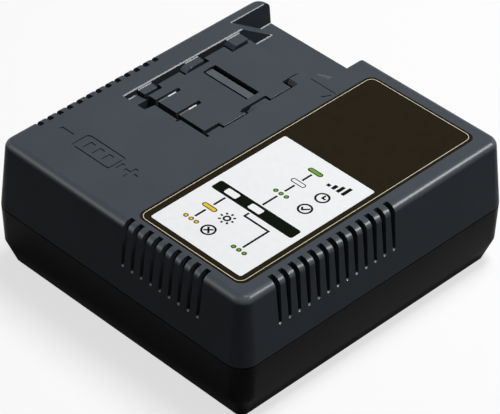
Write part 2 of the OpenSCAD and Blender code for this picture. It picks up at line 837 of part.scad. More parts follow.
// Posts, standoffs and ribs that rise from the base plate
module lower_posts() {
    at_corners(post_x, post_y) translate([0, 0, base_z]) cylinder(r = post_r, h = lower_h);
    at_corners(board_hole_x, board_hole_y)
        translate([0, 0, base_z]) cylinder(r = standoff_r, h = base_t + standoff_h);
    // thickened wall round the cord entry
    translate([cord_x, rear_wall_y - wall - bush_pad, part_z - cord_drop]) rotate([-90, 0, 0])
        cylinder(r = bush_flange_r + 1, h = wall + bush_pad);
}

module bottom_cover() {
    color("#2b2e32") difference() {
        union() {
            translate([0, 0, base_z]) lower_form(0, lower_h - reveal, bevel_h);
            // tongue for the upper half
            wall_plan(wall / 2 + clearance, part_z - 3 * reveal, part_z + tongue_h);
        }
        difference() {
            translate([0, 0, base_z + base_t])
                lower_form(wall, lower_h - base_t + tongue_h + cut, bevel_h - base_t);
            lower_posts();
        }
        // screw holes with sunk heads
        at_corners(post_x, post_y) {
            translate([0, 0, base_z - cut]) cylinder(r = head_r + clearance, h = head_sink + cut);
            translate([0, 0, base_z]) cylinder(r = screw_r + clearance, h = lower_h + tongue_h + cut);
        }
        // pilot holes of the board screws
        at_corners(board_hole_x, board_hole_y)
            translate([0, 0, board_top - board_screw_l]) cylinder(r = board_screw_r, h = board_screw_l);
        // seats of the feet
        at_corners(foot_x, foot_y)
            translate([0, 0, base_z - cut]) cylinder(r = foot_r + clearance, h = foot_seat + cut);
        // cord entry
        translate([cord_x, rear_wall_y, part_z - cord_drop]) rotate([90, 0, 0]) {
            translate([0, 0, -cut]) cylinder(r = bush_r + clearance, h = wall + bush_pad + 2 * cut);
            translate([0, 0, -cut]) cylinder(r = bush_flange_r + clearance, h = bush_flange_t + cut);
        }
    }
}

// The rubber bush of the cord entry: outer flange, neck in the wall, inner flange and tapered sleeve
module cord_grommet() {
    neck = wall + bush_pad - bush_flange_t;
    inner = bush_flange_t + neck + bush_inner_t;
    tip_r = (bush_r + cord_r) / 2;
    color("#1c1d1f") translate([cord_x, rear_wall_y, part_z - cord_drop]) rotate([90, 0, 0])
        rotate_extrude() polygon([[cord_r, 0], [bush_flange_r, 0], [bush_flange_r, bush_flange_t],
            [bush_r, bush_flange_t], [bush_r, bush_flange_t + neck], [bush_flange_r, bush_flange_t + neck],
            [bush_r, inner], [tip_r, inner + bush_sleeve], [cord_r, inner + bush_sleeve]]);
}

// One rubber foot, sunk in its seat, with a rounded lower edge
module foot(side_x, side_y) {
    round_r = min(0.8, foot_proud / 2);
    color("#1a1a1b") translate([side_x * foot_x, side_y * foot_y, 0]) rotate_extrude() {
        polygon([[0, 0], [foot_r - round_r, 0], [foot_r - round_r, round_r], [foot_r, round_r],
            [foot_r, foot_proud + foot_seat], [0, foot_proud + foot_seat]]);
        intersection() {
            translate([foot_r - round_r, round_r]) circle(round_r);
            translate([foot_r - round_r, -round_r]) square(2 * round_r);
        }
    }
}

module foot_front_left() { foot(-1, -1); }
module foot_front_right() { foot(1, -1); }
module foot_rear_left() { foot(-1, 1); }
module foot_rear_right() { foot(1, 1); }

// ---- Face plate and status lights ----

module label_plate() {
    color("#2c2620") difference() {
        translate([plate_x, plate_y, top_z - plate_recess])
            rounded_plate(plate_w, plate_l, plate_r, plate_t);
        for (i = [0, 1])
            translate([window_left_x + i * window_gap, windows_y, top_z - plate_recess - cut])
                linear_extrude(plate_t + 2 * cut)
                    square([window_w + 2 * clearance, window_l + 2 * clearance], center = true);
    }
}

guide_foot_z = top_z - wall - guide_flange_t;

// A white light guide: flush with the face plate, held by a flange under the top
module light_guide(i) {
    color("#eef2f5") translate([window_left_x + i * window_gap, windows_y, 0]) {
        translate([0, 0, guide_foot_z]) linear_extrude(top_z - plate_recess + plate_t - guide_foot_z)
            square([window_w, window_l], center = true);
        translate([0, 0, guide_foot_z]) linear_extrude(guide_flange_t)
            square([window_w + 2 * guide_flange, window_l + 2 * guide_flange], center = true);
    }
}

module light_guide_left() { light_guide(0); }
module light_guide_right() { light_guide(1); }

indicator_z = guide_foot_z - led_gap - led_h - indicator_t;
indicator_w = window_gap + window_w + 2 * indicator_side;
indicator_x = window_left_x + window_gap / 2;

module indicator_led(i) {
    color("#e8e2b8") translate([window_left_x + i * window_gap, windows_y, indicator_z + indicator_t])
        linear_extrude(led_h) square([led_w, led_w], center = true);
}

module indicator_led_left() { indicator_led(0); }
module indicator_led_right() { indicator_led(1); }

module indicator_board() {
    color("#2f6b45") translate([indicator_x, windows_y, indicator_z])
        linear_extrude(indicator_t) square([indicator_w, indicator_l], center = true);
}

// Ribbon cable from the rear edge of the indicator board down to the main board
module indicator_ribbon() {
    ribbon_y = windows_y + indicator_l / 2;
    color("#b9b9b4") {
        box([indicator_x - ribbon_w / 2, ribbon_y - ribbon_lap, indicator_z - ribbon_t],
            [indicator_x + ribbon_w / 2, ribbon_y + ribbon_t, indicator_z]);
        box([indicator_x - ribbon_w / 2, ribbon_y, board_top],
            [indicator_x + ribbon_w / 2, ribbon_y + ribbon_t, indicator_z]);
    }
}

// ---- Contacts and catch ----

// The terminal holder: a block behind the gap's wall with two ears behind it
holder_top = deck_z - deck_t;
holder_foot = holder_top - holder_t;
holder_front = deck_front_y + tub_t + clearance;
holder_rear = deck_front_y + contact_slot_l + holder_wall;
holder_half = contact_pitch / 2 + contact_slot_w / 2 + holder_wall;
blade_y = deck_front_y + contact_slot_l - blade_back - blade_l;

// Where the holder's screws sit
module at_holder_screws() {
    for (side = [-1, 1])
        translate([contact_slot_x(side), holder_rear + clearance + boss_r, 0]) children();
}

// Bosses under the deck that the holder's ears are screwed to
module holder_bosses() {
    at_holder_screws() translate([0, 0, holder_foot + holder_ear_t])
        cylinder(r = boss_r, h = holder_t - holder_ear_t + deck_t / 2);
}

module holder_pilots() {
    at_holder_screws() translate([0, 0, holder_foot + holder_ear_t - cut])
        cylinder(r = holder_screw_r, h = cut + holder_t - holder_ear_t + deck_t / 2);
}

// Right edge of a slot, where its blade and guard rib stand
function slot_edge_x(side) = contact_slot_x(side) + contact_slot_w / 2 - clearance;

module terminal_holder() {
    color("#6d737a") difference() {
        union() {
            box([dock_x + contact_x - holder_half, holder_front, holder_foot],
                [dock_x + contact_x + holder_half, holder_rear, holder_top]);
            for (side = [-1, 1]) {
                // guard ribs that rise through the slots
                box([slot_edge_x(side) - blade_t, deck_front_y, top_z - gap_drop + clearance],
                    [slot_edge_x(side), deck_front_y + guard_l, deck_z]);
                // ears under the bosses
                box([contact_slot_x(side) - boss_r, holder_rear - cut, holder_foot],
                    [contact_slot_x(side) + boss_r, holder_rear + clearance + 2 * boss_r,
                        holder_foot + holder_ear_t]);
            }
        }
        for (side = [-1, 1]) {
            // wells round the blades
            box([contact_slot_x(side) - contact_slot_w / 2, deck_front_y + guard_l,
                    holder_top - holder_t * 2 / 3],
                [contact_slot_x(side) + contact_slot_w / 2, deck_front_y + contact_slot_l,
                    holder_top + cut]);
            // slits that hold the blades
            box([slot_edge_x(side) - blade_t, blade_y, holder_foot - cut],
                [slot_edge_x(side), blade_y + blade_l, holder_top]);
        }
        at_holder_screws() translate([0, 0, holder_foot - cut])
            cylinder(r = holder_screw_r + clearance, h = holder_ear_t + 2 * cut);
    }
}

// One contact blade, standing in the holder and ending in a tab under it
module blade(side) {
    color("#dfe2e4") box([slot_edge_x(side) - blade_t, blade_y, holder_foot - blade_tab],
        [slot_edge_x(side), blade_y + blade_l, deck_z]);
}

module positive_blade() { blade(-1); }
module negative_blade() { blade(1); }

// A lead from the tab of a blade straight down to the board
module lead(side, tone) {
    color(tone) translate([slot_edge_x(side) - blade_t / 2, blade_y + blade_l / 2, board_top])
        cylinder(r = lead_r, h = holder_foot - blade_tab - board_top);
}

module positive_lead() { lead(-1, "#b0302a"); }
module negative_lead() { lead(1, "#202224"); }

// The catch plate under the catch window: a raised pad that slopes a little to the rear, on a flange that
// lies against the deck's underside at both ends
module latch_stop() {
    under = deck_z - deck_t;
    color("#7b828a") translate([dock_x, 0, 0]) rotate([90, 0, 90]) {
        linear_extrude(catch_w - 2 * catch_gap, center = true)
            polygon([[catch_front_y, deck_z - catch_front_drop], [catch_rear_y, deck_z - catch_rear_drop],
                [catch_rear_y, under - catch_t], [catch_front_y, under - catch_t]]);
        linear_extrude(catch_w + 2 * catch_tail, center = true)
            polygon([[catch_front_y, under], [catch_rear_y, under], [catch_rear_y, under - catch_t],
                [catch_front_y, under - catch_t]]);
    }
}

// ---- Main board and what stands on it ----

module main_board() {
    color("#2f6b45") difference() {
        translate([-board_w / 2, -board_l / 2, board_z]) cube([board_w, board_l, board_t]);
        at_corners(board_hole_x, board_hole_y)
            translate([0, 0, board_z - cut]) cylinder(r = board_screw_r + clearance, h = board_t + 2 * cut);
    }
}

// Where the transformer's core stands, and the space between its crosspieces
core_z = board_top + core_lift;
coil_low = core_z + core_yoke;
coil_high = core_z + core_h - core_yoke;
coil_r = core_post_r + clearance + bobbin_t;

// Two E-shaped ferrite halves that meet in a round middle leg
module transformer_core() {
    color("#3b3b3d") translate([transformer_x, transformer_y, core_z]) {
        for (side = [-1, 1])
            translate([side * (core_l / 2 - core_side / 2), 0, core_h / 2])
                cube([core_side, core_leg, core_h], center = true);
        for (low = [0, core_h - core_yoke])
            translate([-core_l / 2, -core_leg / 2, low]) cube([core_l, core_leg, core_yoke]);
        translate([0, 0, core_yoke / 2]) cylinder(r = core_post_r, h = core_h - core_yoke);
    }
}

// Bobbin between the core halves, with two flanges and a pin rail on each side
module transformer_bobbin() {
    color("#3a332b") translate([transformer_x, transformer_y, 0]) difference() {
        union() {
            for (low = [coil_low, coil_high - bobbin_t])
                translate([0, 0, low]) cylinder(r = flange_r, h = bobbin_t);
            translate([0, 0, coil_low]) cylinder(r = coil_r, h = coil_high - coil_low);
            for (side = [0, 1]) mirror([0, side, 0])
                translate([-pin_rail_l / 2, core_leg / 2 + clearance, board_top])
                    cube([pin_rail_l, pin_rail_w, coil_low + bobbin_t - board_top]);
        }
        translate([0, 0, coil_low - cut])
            cylinder(r = core_post_r + clearance, h = coil_high - coil_low + 2 * cut);
    }
}

// Copper winding with its tape on the bobbin
module transformer_winding() {
    low = coil_low + bobbin_t;
    color("#c8a13a") translate([transformer_x, transformer_y, low]) rotate_extrude()
        translate([coil_r, 0]) square([flange_r - winding_drop - coil_r, coil_high - bobbin_t - low]);
}

// A standing electrolytic capacitor with its crimped groove and bevelled shoulder
module can_capacitor(x, y, radius, height, tone) {
    color(tone) translate([x, y, board_top]) rotate_extrude()
        polygon([[0, 0], [radius, 0], [radius, groove_z], [radius - groove_d, groove_z + groove_d],
            [radius, groove_z + 2 * groove_d], [radius, height - groove_d], [radius - groove_d, height],
            [0, height]]);
}

module bulk_capacitor() { can_capacitor(bulk_x, bulk_y, bulk_r, bulk_h, "#23262b"); }

module output_capacitor_left() {
    can_capacitor(output_x - output_pitch / 2, output_y, output_r, output_h, "#2a3558");
}

module output_capacitor_right() {
    can_capacitor(output_x + output_pitch / 2, output_y, output_r, output_h, "#2a3558");
}

// Moves a child to a heat sink's place; its flat side faces -Y before it turns
module at_primary_sink() {
    translate([primary_x, primary_y, board_top]) rotate(-90) children();
}

module at_output_sink() {
    translate([output_sink_x, output_sink_y, board_top]) rotate(90) children();
}

// A finned aluminium plate; a power device seats on its flat side
module heat_sink() {
    length = (fins - 1) * fin_pitch + fin_t;
    color("#b9bdc1") difference() {
        union() {
            translate([-length / 2, 0, 0]) cube([length, sink_t, sink_h]);
            for (i = [0 : fins - 1])
                translate([-length / 2 + i * fin_pitch, sink_t - cut, 0])
                    cube([fin_t, fin_depth + cut, sink_h]);
        }
        translate([0, -cut, device_screw_z]) rotate([-90, 0, 0])
            cylinder(r = device_screw_r, h = sink_t + cut);
    }
}

module primary_heat_sink() { at_primary_sink() heat_sink(); }
module output_heat_sink() { at_output_sink() heat_sink(); }

// A flat-tab power device: moulded body, metal tab with its hole, three legs
module power_device() {
    leg_y = -device_t / 2 - leg_w / 2;
    color("#26272a") difference() {
        union() {
            translate([-device_w / 2, -device_t, device_lift]) cube([device_w, device_t, device_body_h]);
            translate([-device_w / 2, -device_tab_t, device_lift])
                cube([device_w, device_tab_t, device_tab_h]);
            for (leg = [-1 : 1])
                translate([leg * leg_pitch - leg_w / 2, leg_y, 0]) cube([leg_w, leg_w, device_lift + cut]);
        }
        translate([0, -device_t - cut, device_screw_z]) rotate([-90, 0, 0])
            cylinder(r = device_screw_r + clearance, h = device_t + 2 * cut);
    }
}

module power_transistor() { at_primary_sink() power_device(); }
module output_rectifier() { at_output_sink() power_device(); }

// Play between a screw's thread and its pilot hole
thread_play = 0.05;

// A pan head screw along -Z with its head on z = 0
module pan_screw(radius, head, length) {
    cylinder(r = head, h = head * 0.6);
    translate([0, 0, -length]) cylinder(r = radius - thread_play, h = length);
}

// Screw through a device's tab into its heat sink
module device_screw() {
    translate([0, -device_tab_t, device_screw_z]) rotate([90, 0, 0])
        pan_screw(device_screw_r, device_screw_r * 1.8, sink_t + device_tab_t - clearance);
}

module device_screws() {
    color("#c9ccce") {
        at_primary_sink() device_screw();
        at_output_sink() device_screw();
    }
}

// Moves a child to the line choke, whose axis lies along Y
module at_choke() {
    translate([choke_x, choke_y, board_top + choke_r]) rotate([90, 0, 0]) children();
}

// Side of the choke core's square section
choke_core_w = 2 * (choke_wire_r - choke_wire_t) - 2 * clearance;

// Ring core of the line choke, standing on its edge
module line_choke_core() {
    color("#4a4f46") at_choke() rotate_extrude() translate([choke_r - choke_wire_r, 0])
        square(choke_core_w, center = true);
}

// Copper turns laid round the ring in two halves
module line_choke_winding() {
    hole_w = choke_core_w + 2 * clearance;
    color("#b5763a") at_choke() for (start = [20, 200]) rotate(start) rotate_extrude(angle = 140)
        translate([choke_r - choke_wire_r, 0]) difference() {
            circle(choke_wire_r);
            square(hole_w, center = true);
        }
}

module film_capacitor() {
    color("#c9b23c") translate([film_x, film_y, board_top]) cube([film_l, film_d, film_h]);
}

fuse_z = board_top + fuse_lift;

// Glass fuse with its two end caps
module fuse() {
    color("#cfd6d8") translate([fuse_x, fuse_y, fuse_z]) rotate([0, 90, 0]) {
        cylinder(r = fuse_r * 0.88, h = fuse_l, center = true);
        for (side = [-1, 1])
            translate([0, 0, side * (fuse_l - fuse_cap_l) / 2])
                cylinder(r = fuse_r, h = fuse_cap_l, center = true);
    }
}

// Spring clips that hold the fuse by its caps: open above, and hollow under the fuse
module fuse_clips() {
    half = fuse_r + clip_t;
    reach = clip_l / 2 + cut;
    mouth = fuse_r * 0.92;
    color("#c2b280") for (side = [-1, 1])
        translate([fuse_x + side * (fuse_l - fuse_cap_l) / 2, fuse_y, 0]) difference() {
            box([-clip_l / 2, -half, board_top], [clip_l / 2, half, fuse_z + clip_t]);
            translate([0, 0, fuse_z]) rotate([0, 90, 0])
                cylinder(r = fuse_r, h = 2 * reach, center = true);
            box([-reach, -mouth, fuse_z], [reach, mouth, fuse_z + half]);
            box([-reach, -fuse_r, board_top + clip_t], [reach, fuse_r, fuse_z - fuse_r - clip_t]);
        }
}

// Shrouded connector that the mains cord's cores plug into
module mains_connector() {
    color("#e6e4da") translate([cord_x, connector_y, board_top]) difference() {
        translate([-connector_w / 2, -connector_d / 2, 0]) cube([connector_w, connector_d, connector_h]);
        translate([-connector_w / 2 + connector_t, -connector_d / 2 + connector_t, connector_h / 3])
            cube([connector_w - 2 * connector_t, connector_d - 2 * connector_t, connector_h]);
    }
}

// The control chip with two rows of pins bent down to the board
module control_chip() {
    pin_w = leg_w / 2;
    length = chip_pins * leg_pitch;
    color("#26272a") translate([chip_x, chip_y, board_top]) {
        translate([-length / 2, -chip_w / 2, chip_lift]) cube([length, chip_w, chip_t]);
        for (i = [0 : chip_pins - 1], side = [0, 1]) mirror([0, side, 0])
            translate([(i - (chip_pins - 1) / 2) * leg_pitch - pin_w / 2, chip_w / 2 - cut, 0])
                cube([pin_w, pin_w + cut, chip_lift + chip_t / 2]);
    }
}

// ---- Screws ----

module case_screws() {
    seat_z = base_z + head_sink;
    color("#8f9397") at_corners(post_x, post_y) translate([0, 0, seat_z]) rotate([180, 0, 0])
        pan_screw(screw_r, head_r, part_z + screw_bite - cut - seat_z);
}

module board_screws() {
    color("#c9ccce") at_corners(board_hole_x, board_hole_y)
        translate([0, 0, board_top]) pan_screw(board_screw_r, board_screw_r * 1.9, board_screw_l - cut / 2);
}

module holder_screws() {
    color("#c9ccce") at_holder_screws() translate([0, 0, holder_foot]) rotate([180, 0, 0])
        pan_screw(holder_screw_r, holder_screw_r * 2.2, holder_t);
}

top_cover();
bottom_cover();
label_plate();
light_guide_left();
light_guide_right();
indicator_led_left();
indicator_led_right();
indicator_board();
indicator_ribbon();
terminal_holder();
positive_blade();
negative_blade();
positive_lead();
negative_lead();
latch_stop();
main_board();
transformer_core();
transformer_bobbin();
transformer_winding();
bulk_capacitor();
output_capacitor_left();
output_capacitor_right();
primary_heat_sink();
output_heat_sink();
power_transistor();
output_rectifier();
line_choke_core();
line_choke_winding();
film_capacitor();
fuse();
fuse_clips();
mains_connector();
control_chip();
cord_grommet();
foot_front_left();
foot_front_right();
foot_rear_left();
foot_rear_right();
case_screws();
board_screws();
holder_screws();
device_screws();
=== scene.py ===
# %% [markdown]
# # A charger for power tool batteries
#
# This notebook dresses a charger whose pieces already have their real size: two plastic shells, a printed
# face plate, bright contacts and the board inside. The shapes are given, so the lesson is about finish:
# soft edges, moulded plastic, printing, and a light that shows them. Everything is in metres, +X runs to
# the right along the face plate, +Y to the rear and +Z up.

import math

import bmesh
import bpy
from mathutils import Matrix, Vector


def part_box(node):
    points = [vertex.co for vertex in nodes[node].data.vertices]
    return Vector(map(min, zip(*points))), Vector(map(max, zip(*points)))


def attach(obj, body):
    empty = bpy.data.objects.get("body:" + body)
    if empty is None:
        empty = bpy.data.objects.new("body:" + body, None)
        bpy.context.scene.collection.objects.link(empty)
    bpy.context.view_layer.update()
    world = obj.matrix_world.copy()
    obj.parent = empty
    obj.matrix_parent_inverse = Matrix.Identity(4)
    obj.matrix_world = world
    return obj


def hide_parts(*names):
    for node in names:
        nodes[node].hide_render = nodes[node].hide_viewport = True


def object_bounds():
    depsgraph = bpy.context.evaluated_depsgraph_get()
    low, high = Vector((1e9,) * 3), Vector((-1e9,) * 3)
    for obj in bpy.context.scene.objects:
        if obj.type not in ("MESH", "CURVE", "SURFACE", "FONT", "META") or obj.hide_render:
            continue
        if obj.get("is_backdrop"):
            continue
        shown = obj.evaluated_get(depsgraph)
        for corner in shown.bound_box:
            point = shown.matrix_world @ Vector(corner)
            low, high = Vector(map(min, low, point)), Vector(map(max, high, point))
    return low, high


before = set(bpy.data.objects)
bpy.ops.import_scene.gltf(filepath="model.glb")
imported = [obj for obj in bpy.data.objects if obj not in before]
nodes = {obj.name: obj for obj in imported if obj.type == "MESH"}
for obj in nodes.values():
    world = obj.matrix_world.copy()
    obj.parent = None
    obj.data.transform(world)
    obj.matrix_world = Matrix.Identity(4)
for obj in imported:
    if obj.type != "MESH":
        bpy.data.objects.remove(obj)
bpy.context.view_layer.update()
SCENE = bpy.context.scene
MM = 0.001
PARTING_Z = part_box("top_cover")[0].z
TOP_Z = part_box("top_cover")[1].z
print("pieces:", len(nodes), "height of the top face in mm:", round(TOP_Z / MM, 1))

# %% [markdown]
# ## Camera
#
# A product picture is taken from some distance with a long lens, which keeps parallel edges nearly
# parallel. The camera is described as a photographer would: how far round the object it stands, how high
# it looks down from, how much it leans, and its lens. Three turns give its direction.

# %% Place the camera
CAMERA_PLACE = Vector((0.74794, -0.74911, 0.85383 + PARTING_Z))
AROUND, ABOVE, LEAN = (math.radians(angle) for angle in (44.968, 39.001, 0.786))
LENS, SENSOR_W = 210.9, 36

camera_data = bpy.data.cameras.new("camera")
camera_data.lens = LENS
camera_data.sensor_width = SENSOR_W
camera = bpy.data.objects.new("camera", camera_data)
SCENE.collection.objects.link(camera)
turns = (Matrix.Rotation(AROUND, 4, "Z") @ Matrix.Rotation(math.pi / 2 - ABOVE, 4, "X")
         @ Matrix.Rotation(LEAN, 4, "Z"))
camera.matrix_world = Matrix.Translation(CAMERA_PLACE) @ turns
SCENE.camera = camera
print("camera distance in mm:", round(CAMERA_PLACE.length / MM))

# %% [markdown]
# ## Lamps
#
# Dark plastic shows its form through what it reflects. A soft box hangs overhead, a little behind and to
# the right, so that level faces are lit fully and the walls only graze its light. Its shadow falls to the
# front, and the front wall, which mirrors that floor, stays dark.
#
# Two small boxes only draw the lines of light along the edges. A bevel between the top and a wall leans half
# way, so it mirrors what stands low beyond that wall: the side box shows in bevels that face right, and a
# weaker front box in those that face the front. Neither lights a surface, they are only seen in gloss.

# %% Three soft boxes
LAMP_AIM = Vector((0, 0, 0.04))
# place and edge length in metres, watts, and whether it lights surfaces or is only seen in gloss
LAMPS = {"top_box": ((0.13, 0.36, 1.35), 0.5, 19, True),
         "side_glint": ((0.747, 0.803, 0.877), 0.45, 12.5, False),
         "front_glint": ((-0.75, -0.903, 0.737), 0.6, 2.6, False)}
SCENE.view_settings.view_transform = "Standard"


def soft_box(name, place, size, power, lights):
    """A square area lamp at a place, turned to the charger."""
    data = bpy.data.lights.new(name, "AREA")
    data.shape = "SQUARE"
    data.size = size
    data.energy = power
    lamp = bpy.data.objects.new(name, data)
    lamp.location = place
    lamp.rotation_euler = (LAMP_AIM - Vector(place)).to_track_quat("-Z", "Y").to_euler()
    lamp.visible_diffuse = lights
    SCENE.collection.objects.link(lamp)


for name, values in LAMPS.items():
    soft_box(name, *values)
print("lamps:", list(LAMPS))

# %% [markdown]
# ## Shader maths in Python
#
# A material is a small network of nodes. Written out node by node it is hard to read, so a socket is
# wrapped in a class that takes part in Python's own arithmetic: `1 - mask` adds a Subtract node and gives
# its output back. The reflected forms, such as `__rsub__`, serve where the plain number stands first.

# %% A value that varies
class Value:
    """A number or colour that varies over a surface: one output socket of a network."""

    def __init__(self, network, socket):
        self.network = network
        self.socket = socket

    def maths(self, operation, *others):
        return self.network.node("ShaderNodeMath", {"operation": operation}, [self, *others])

    def __add__(self, other):
        return self.maths("ADD", other)

    __radd__ = __add__

    def __mul__(self, other):
        return self.maths("MULTIPLY", other)

    __rmul__ = __mul__

    def __sub__(self, other):
        return self.maths("SUBTRACT", other)

    def __rsub__(self, other):
        return self.network.node("ShaderNodeMath", {"operation": "SUBTRACT"}, [other, self])

    def __gt__(self, other):
        return self.maths("GREATER_THAN", other)

    def __lt__(self, other):
        return self.maths("LESS_THAN", other)


print("a value takes part in:", "+ - * > <")

# %% [markdown]
# ## One method for every node
#
# All nodes come from one method, which takes the kind of node, its settings and what goes into its sockets.
# The world is such a network too, so this much is shared with it.

# %% A network of nodes
class Network:
    """The nodes of one material or of the world."""

    def __init__(self, tree):
        self.tree = tree

    def node(self, kind, settings, sockets=(), out=0):
        """Adds a node, sets it, feeds its sockets by place or name, and gives one output back."""
        made = self.tree.nodes.new(kind)
        for name, value in settings.items():
            setattr(made, name, value)
        pairs = sockets.items() if isinstance(sockets, dict) else enumerate(sockets)
        for key, value in pairs:
            self.feed(made.inputs[key], value)
        return Value(self, made.outputs[out])

    def feed(self, socket, value):
        """Links a value to a socket, or sets the socket to a plain number or colour."""
        if isinstance(value, Value):
            self.tree.links.new(value.socket, socket)
        else:
            socket.default_value = value

    def blend(self, low, high, share):
        """Two colours mixed by a share from 0 to 1."""
        return self.node("ShaderNodeMix", {"data_type": "RGBA"}, {0: share, 6: low, 7: high}, 2)

    def ramp(self, value, low, high, to_low=0.0, to_high=1.0):
        """Stretches the part of a value between low and high."""
        return self.node("ShaderNodeMapRange", {},
                         {"Value": value, "From Min": low, "From Max": high,
                          "To Min": to_low, "To Max": to_high})


print("a network can:", [name for name in vars(Network) if not name.startswith("_")])

# %% [markdown]
# ## A recipe for each finish
#
# A finish is read from the place on the object, in metres, so that a pattern keeps its real size and stays
# where it is. A recipe starts from that place and from the shader's constants, and adds what surfaces have in
# common: clouds of noise, one coordinate of the place, and small relief. Noise seldom strays far from 0.5,
# so a finish stretches only the middle of it, a narrow part for contrast or a wide part for soft changes.

# %% A recipe and its colours
NARROW, WIDE = (0.35, 0.65), (0.3, 0.7)


class Recipe(Network):
    """One material, and the network that makes its finish."""

    def __init__(self, name, roughness, metallic=0.0, specular=0.5):
        self.material = bpy.data.materials.new(name)
        self.material.use_nodes = True
        super().__init__(self.material.node_tree)
        self.shader = self.tree.nodes["Principled BSDF"]
        self.shader.inputs["Roughness"].default_value = roughness
        self.shader.inputs["Metallic"].default_value = metallic
        self.shader.inputs["Specular IOR Level"].default_value = specular
        self.place = self.node("ShaderNodeTexCoord", {}, [], "Object")

    def axis(self, letter, vector=None):
        """One coordinate of the place in metres, or of another vector."""
        return self.node("ShaderNodeSeparateXYZ", {}, [vector or self.place], letter)

    def noise(self, size, detail=2.0, place=None):
        """A cloudy value about 0.5, whose patches are size metres across."""
        return self.node("ShaderNodeTexNoise", {},
                         {"Vector": place or self.place, "Scale": 1 / size, "Detail": detail})

    def bump(self, height, depth):
        """Turns a height into small relief, depth metres deep."""
        normal = self.node("ShaderNodeBump", {}, {"Height": height, "Distance": depth, "Strength": 1.0})
        self.feed(self.shader.inputs["Normal"], normal)

    def set(self, **values):
        """Feeds the shader's sockets: base_color for Base Color, roughness for Roughness, and so on."""
        for name, value in values.items():
            self.feed(self.shader.inputs[name.replace("_", " ").title()], value)


def srgb(red, green, blue):
    """A colour as a paint chart gives it, 0 to 255, in the linear numbers that shaders use."""
    def linear(level):
        level = level / 255
        return level / 12.92 if level <= 0.04045 else ((level + 0.055) / 1.055) ** 2.4
    return (linear(red), linear(green), linear(blue), 1.0)


print("a mid grey in linear numbers:", round(srgb(119, 119, 119)[0], 3))

# %% [markdown]
# ## Floor and background
#
# The background has to look white and yet throw little light on the charger, or its black base would turn
# grey. Light Path tells which ray asks: the camera, a reflection or a view through glass sees white, and
# all other rays meet a dim grey. The floor glows a little for those three and is plain paint for the rest,
# and the paint shows the shadow.

# %% White to look at, dim to be lit by
FLOOR_SIDE = 6


def rays(network):
    """Three values: 1 for rays from the camera, from a gloss or through glass, and 0 for all others."""
    return [network.node("ShaderNodeLightPath", {}, [], f"Is {kind} Ray")
            for kind in ("Camera", "Glossy", "Transmission")]


def floor_paint(lit=0.2, shown=0.92, glow_shares=(0.7, 0.1, 0.7)):
    """Paint that takes the shadow, with a share of glow for each of the three kinds of ray."""
    recipe = Recipe("floor_paint", 0.9, specular=0.0)
    camera_ray, glossy_ray, glass_ray = rays(recipe)
    seen = camera_ray + glossy_ray + glass_ray
    recipe.set(base_color=recipe.blend((lit, lit, lit, 1), (shown, shown, shown, 1), seen))
    glow = recipe.node("ShaderNodeEmission", {}, {"Strength": 1.0})
    share = sum(ray * part for ray, part in zip((camera_ray, glossy_ray, glass_ray), glow_shares))
    paint_and_glow = recipe.node("ShaderNodeMixShader", {}, {0: share, 2: glow})
    recipe.tree.links.new(recipe.shader.outputs[0], paint_and_glow.socket.node.inputs[1])
    recipe.feed(recipe.tree.nodes["Material Output"].inputs["Surface"], paint_and_glow)
    return recipe.material


def studio_world(lit=0.05):
    """A world that lights dimly and looks white."""
    world = bpy.data.worlds.new("studio")
    SCENE.world = world
    world.use_nodes = True
    sky = Network(world.node_tree)
    background = sky.tree.nodes["Background"]
    background.inputs["Color"].default_value = (1, 1, 1, 1)
    sky.feed(background.inputs["Strength"], sky.ramp(sum(rays(sky)), 0, 1, lit, 1.0))


studio_world()
bpy.ops.object.select_all(action="DESELECT")
bpy.ops.mesh.primitive_plane_add(size=FLOOR_SIDE, location=(0, 0, 0))
floor = bpy.context.active_object
floor.name = "floor"
floor.data.materials.append(floor_paint())
floor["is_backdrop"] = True
print("floor and world are ready")

# %% [markdown]
# ## Moulded plastic
#
# The mould of such a housing is spark eroded, which leaves a fine even grain that scatters light. Two
# scales of relief give it: grain of about a third of a millimetre, and a barely visible waviness from the
# melt's flow. Hands and battery packs rub the edges first, and the rub polishes them, which is a thin coat
# here. The edges are also painted a little paler, partly as wear and partly as a painted highlight where
# they catch the light. Both share one mask, from the way the surface faces: full on the slopes between the
# walls and the top, none on either, and none on the slopes inside the dock.

# %% Housing plastic
DRIFT_SIZE, WAVE_SIZE = 30 * MM, 6 * MM
RUB_POLISH, RUB_ROUGHNESS = 0.5, 0.26
# the slopes at both ends of the charger are outer ones too
END_ZONE, SIDEWAYS = 77.5 * MM, 0.3
# how much a slope faces up where its rub and painted highlight start and where they are full, from the wall
# and from the top
FROM_WALL, FROM_TOP = (0.2, 0.6), (0.97, 0.8)


def worn_and_highlit_edges(recipe):
    """1 on bevels between level and upright faces, 0 elsewhere and on the slopes inside the dock."""
    normal = recipe.node("ShaderNodeTexCoord", {}, [], "Normal")
    up = recipe.axis("Z", normal)
    sideways = recipe.axis("X", normal).maths("ABSOLUTE")
    to_an_end = recipe.axis("Y").maths("ABSOLUTE")
    outer = (sideways > SIDEWAYS).maths("MAXIMUM", to_an_end > END_ZONE)
    return recipe.ramp(up, *FROM_WALL) * recipe.ramp(up, *FROM_TOP) * outer


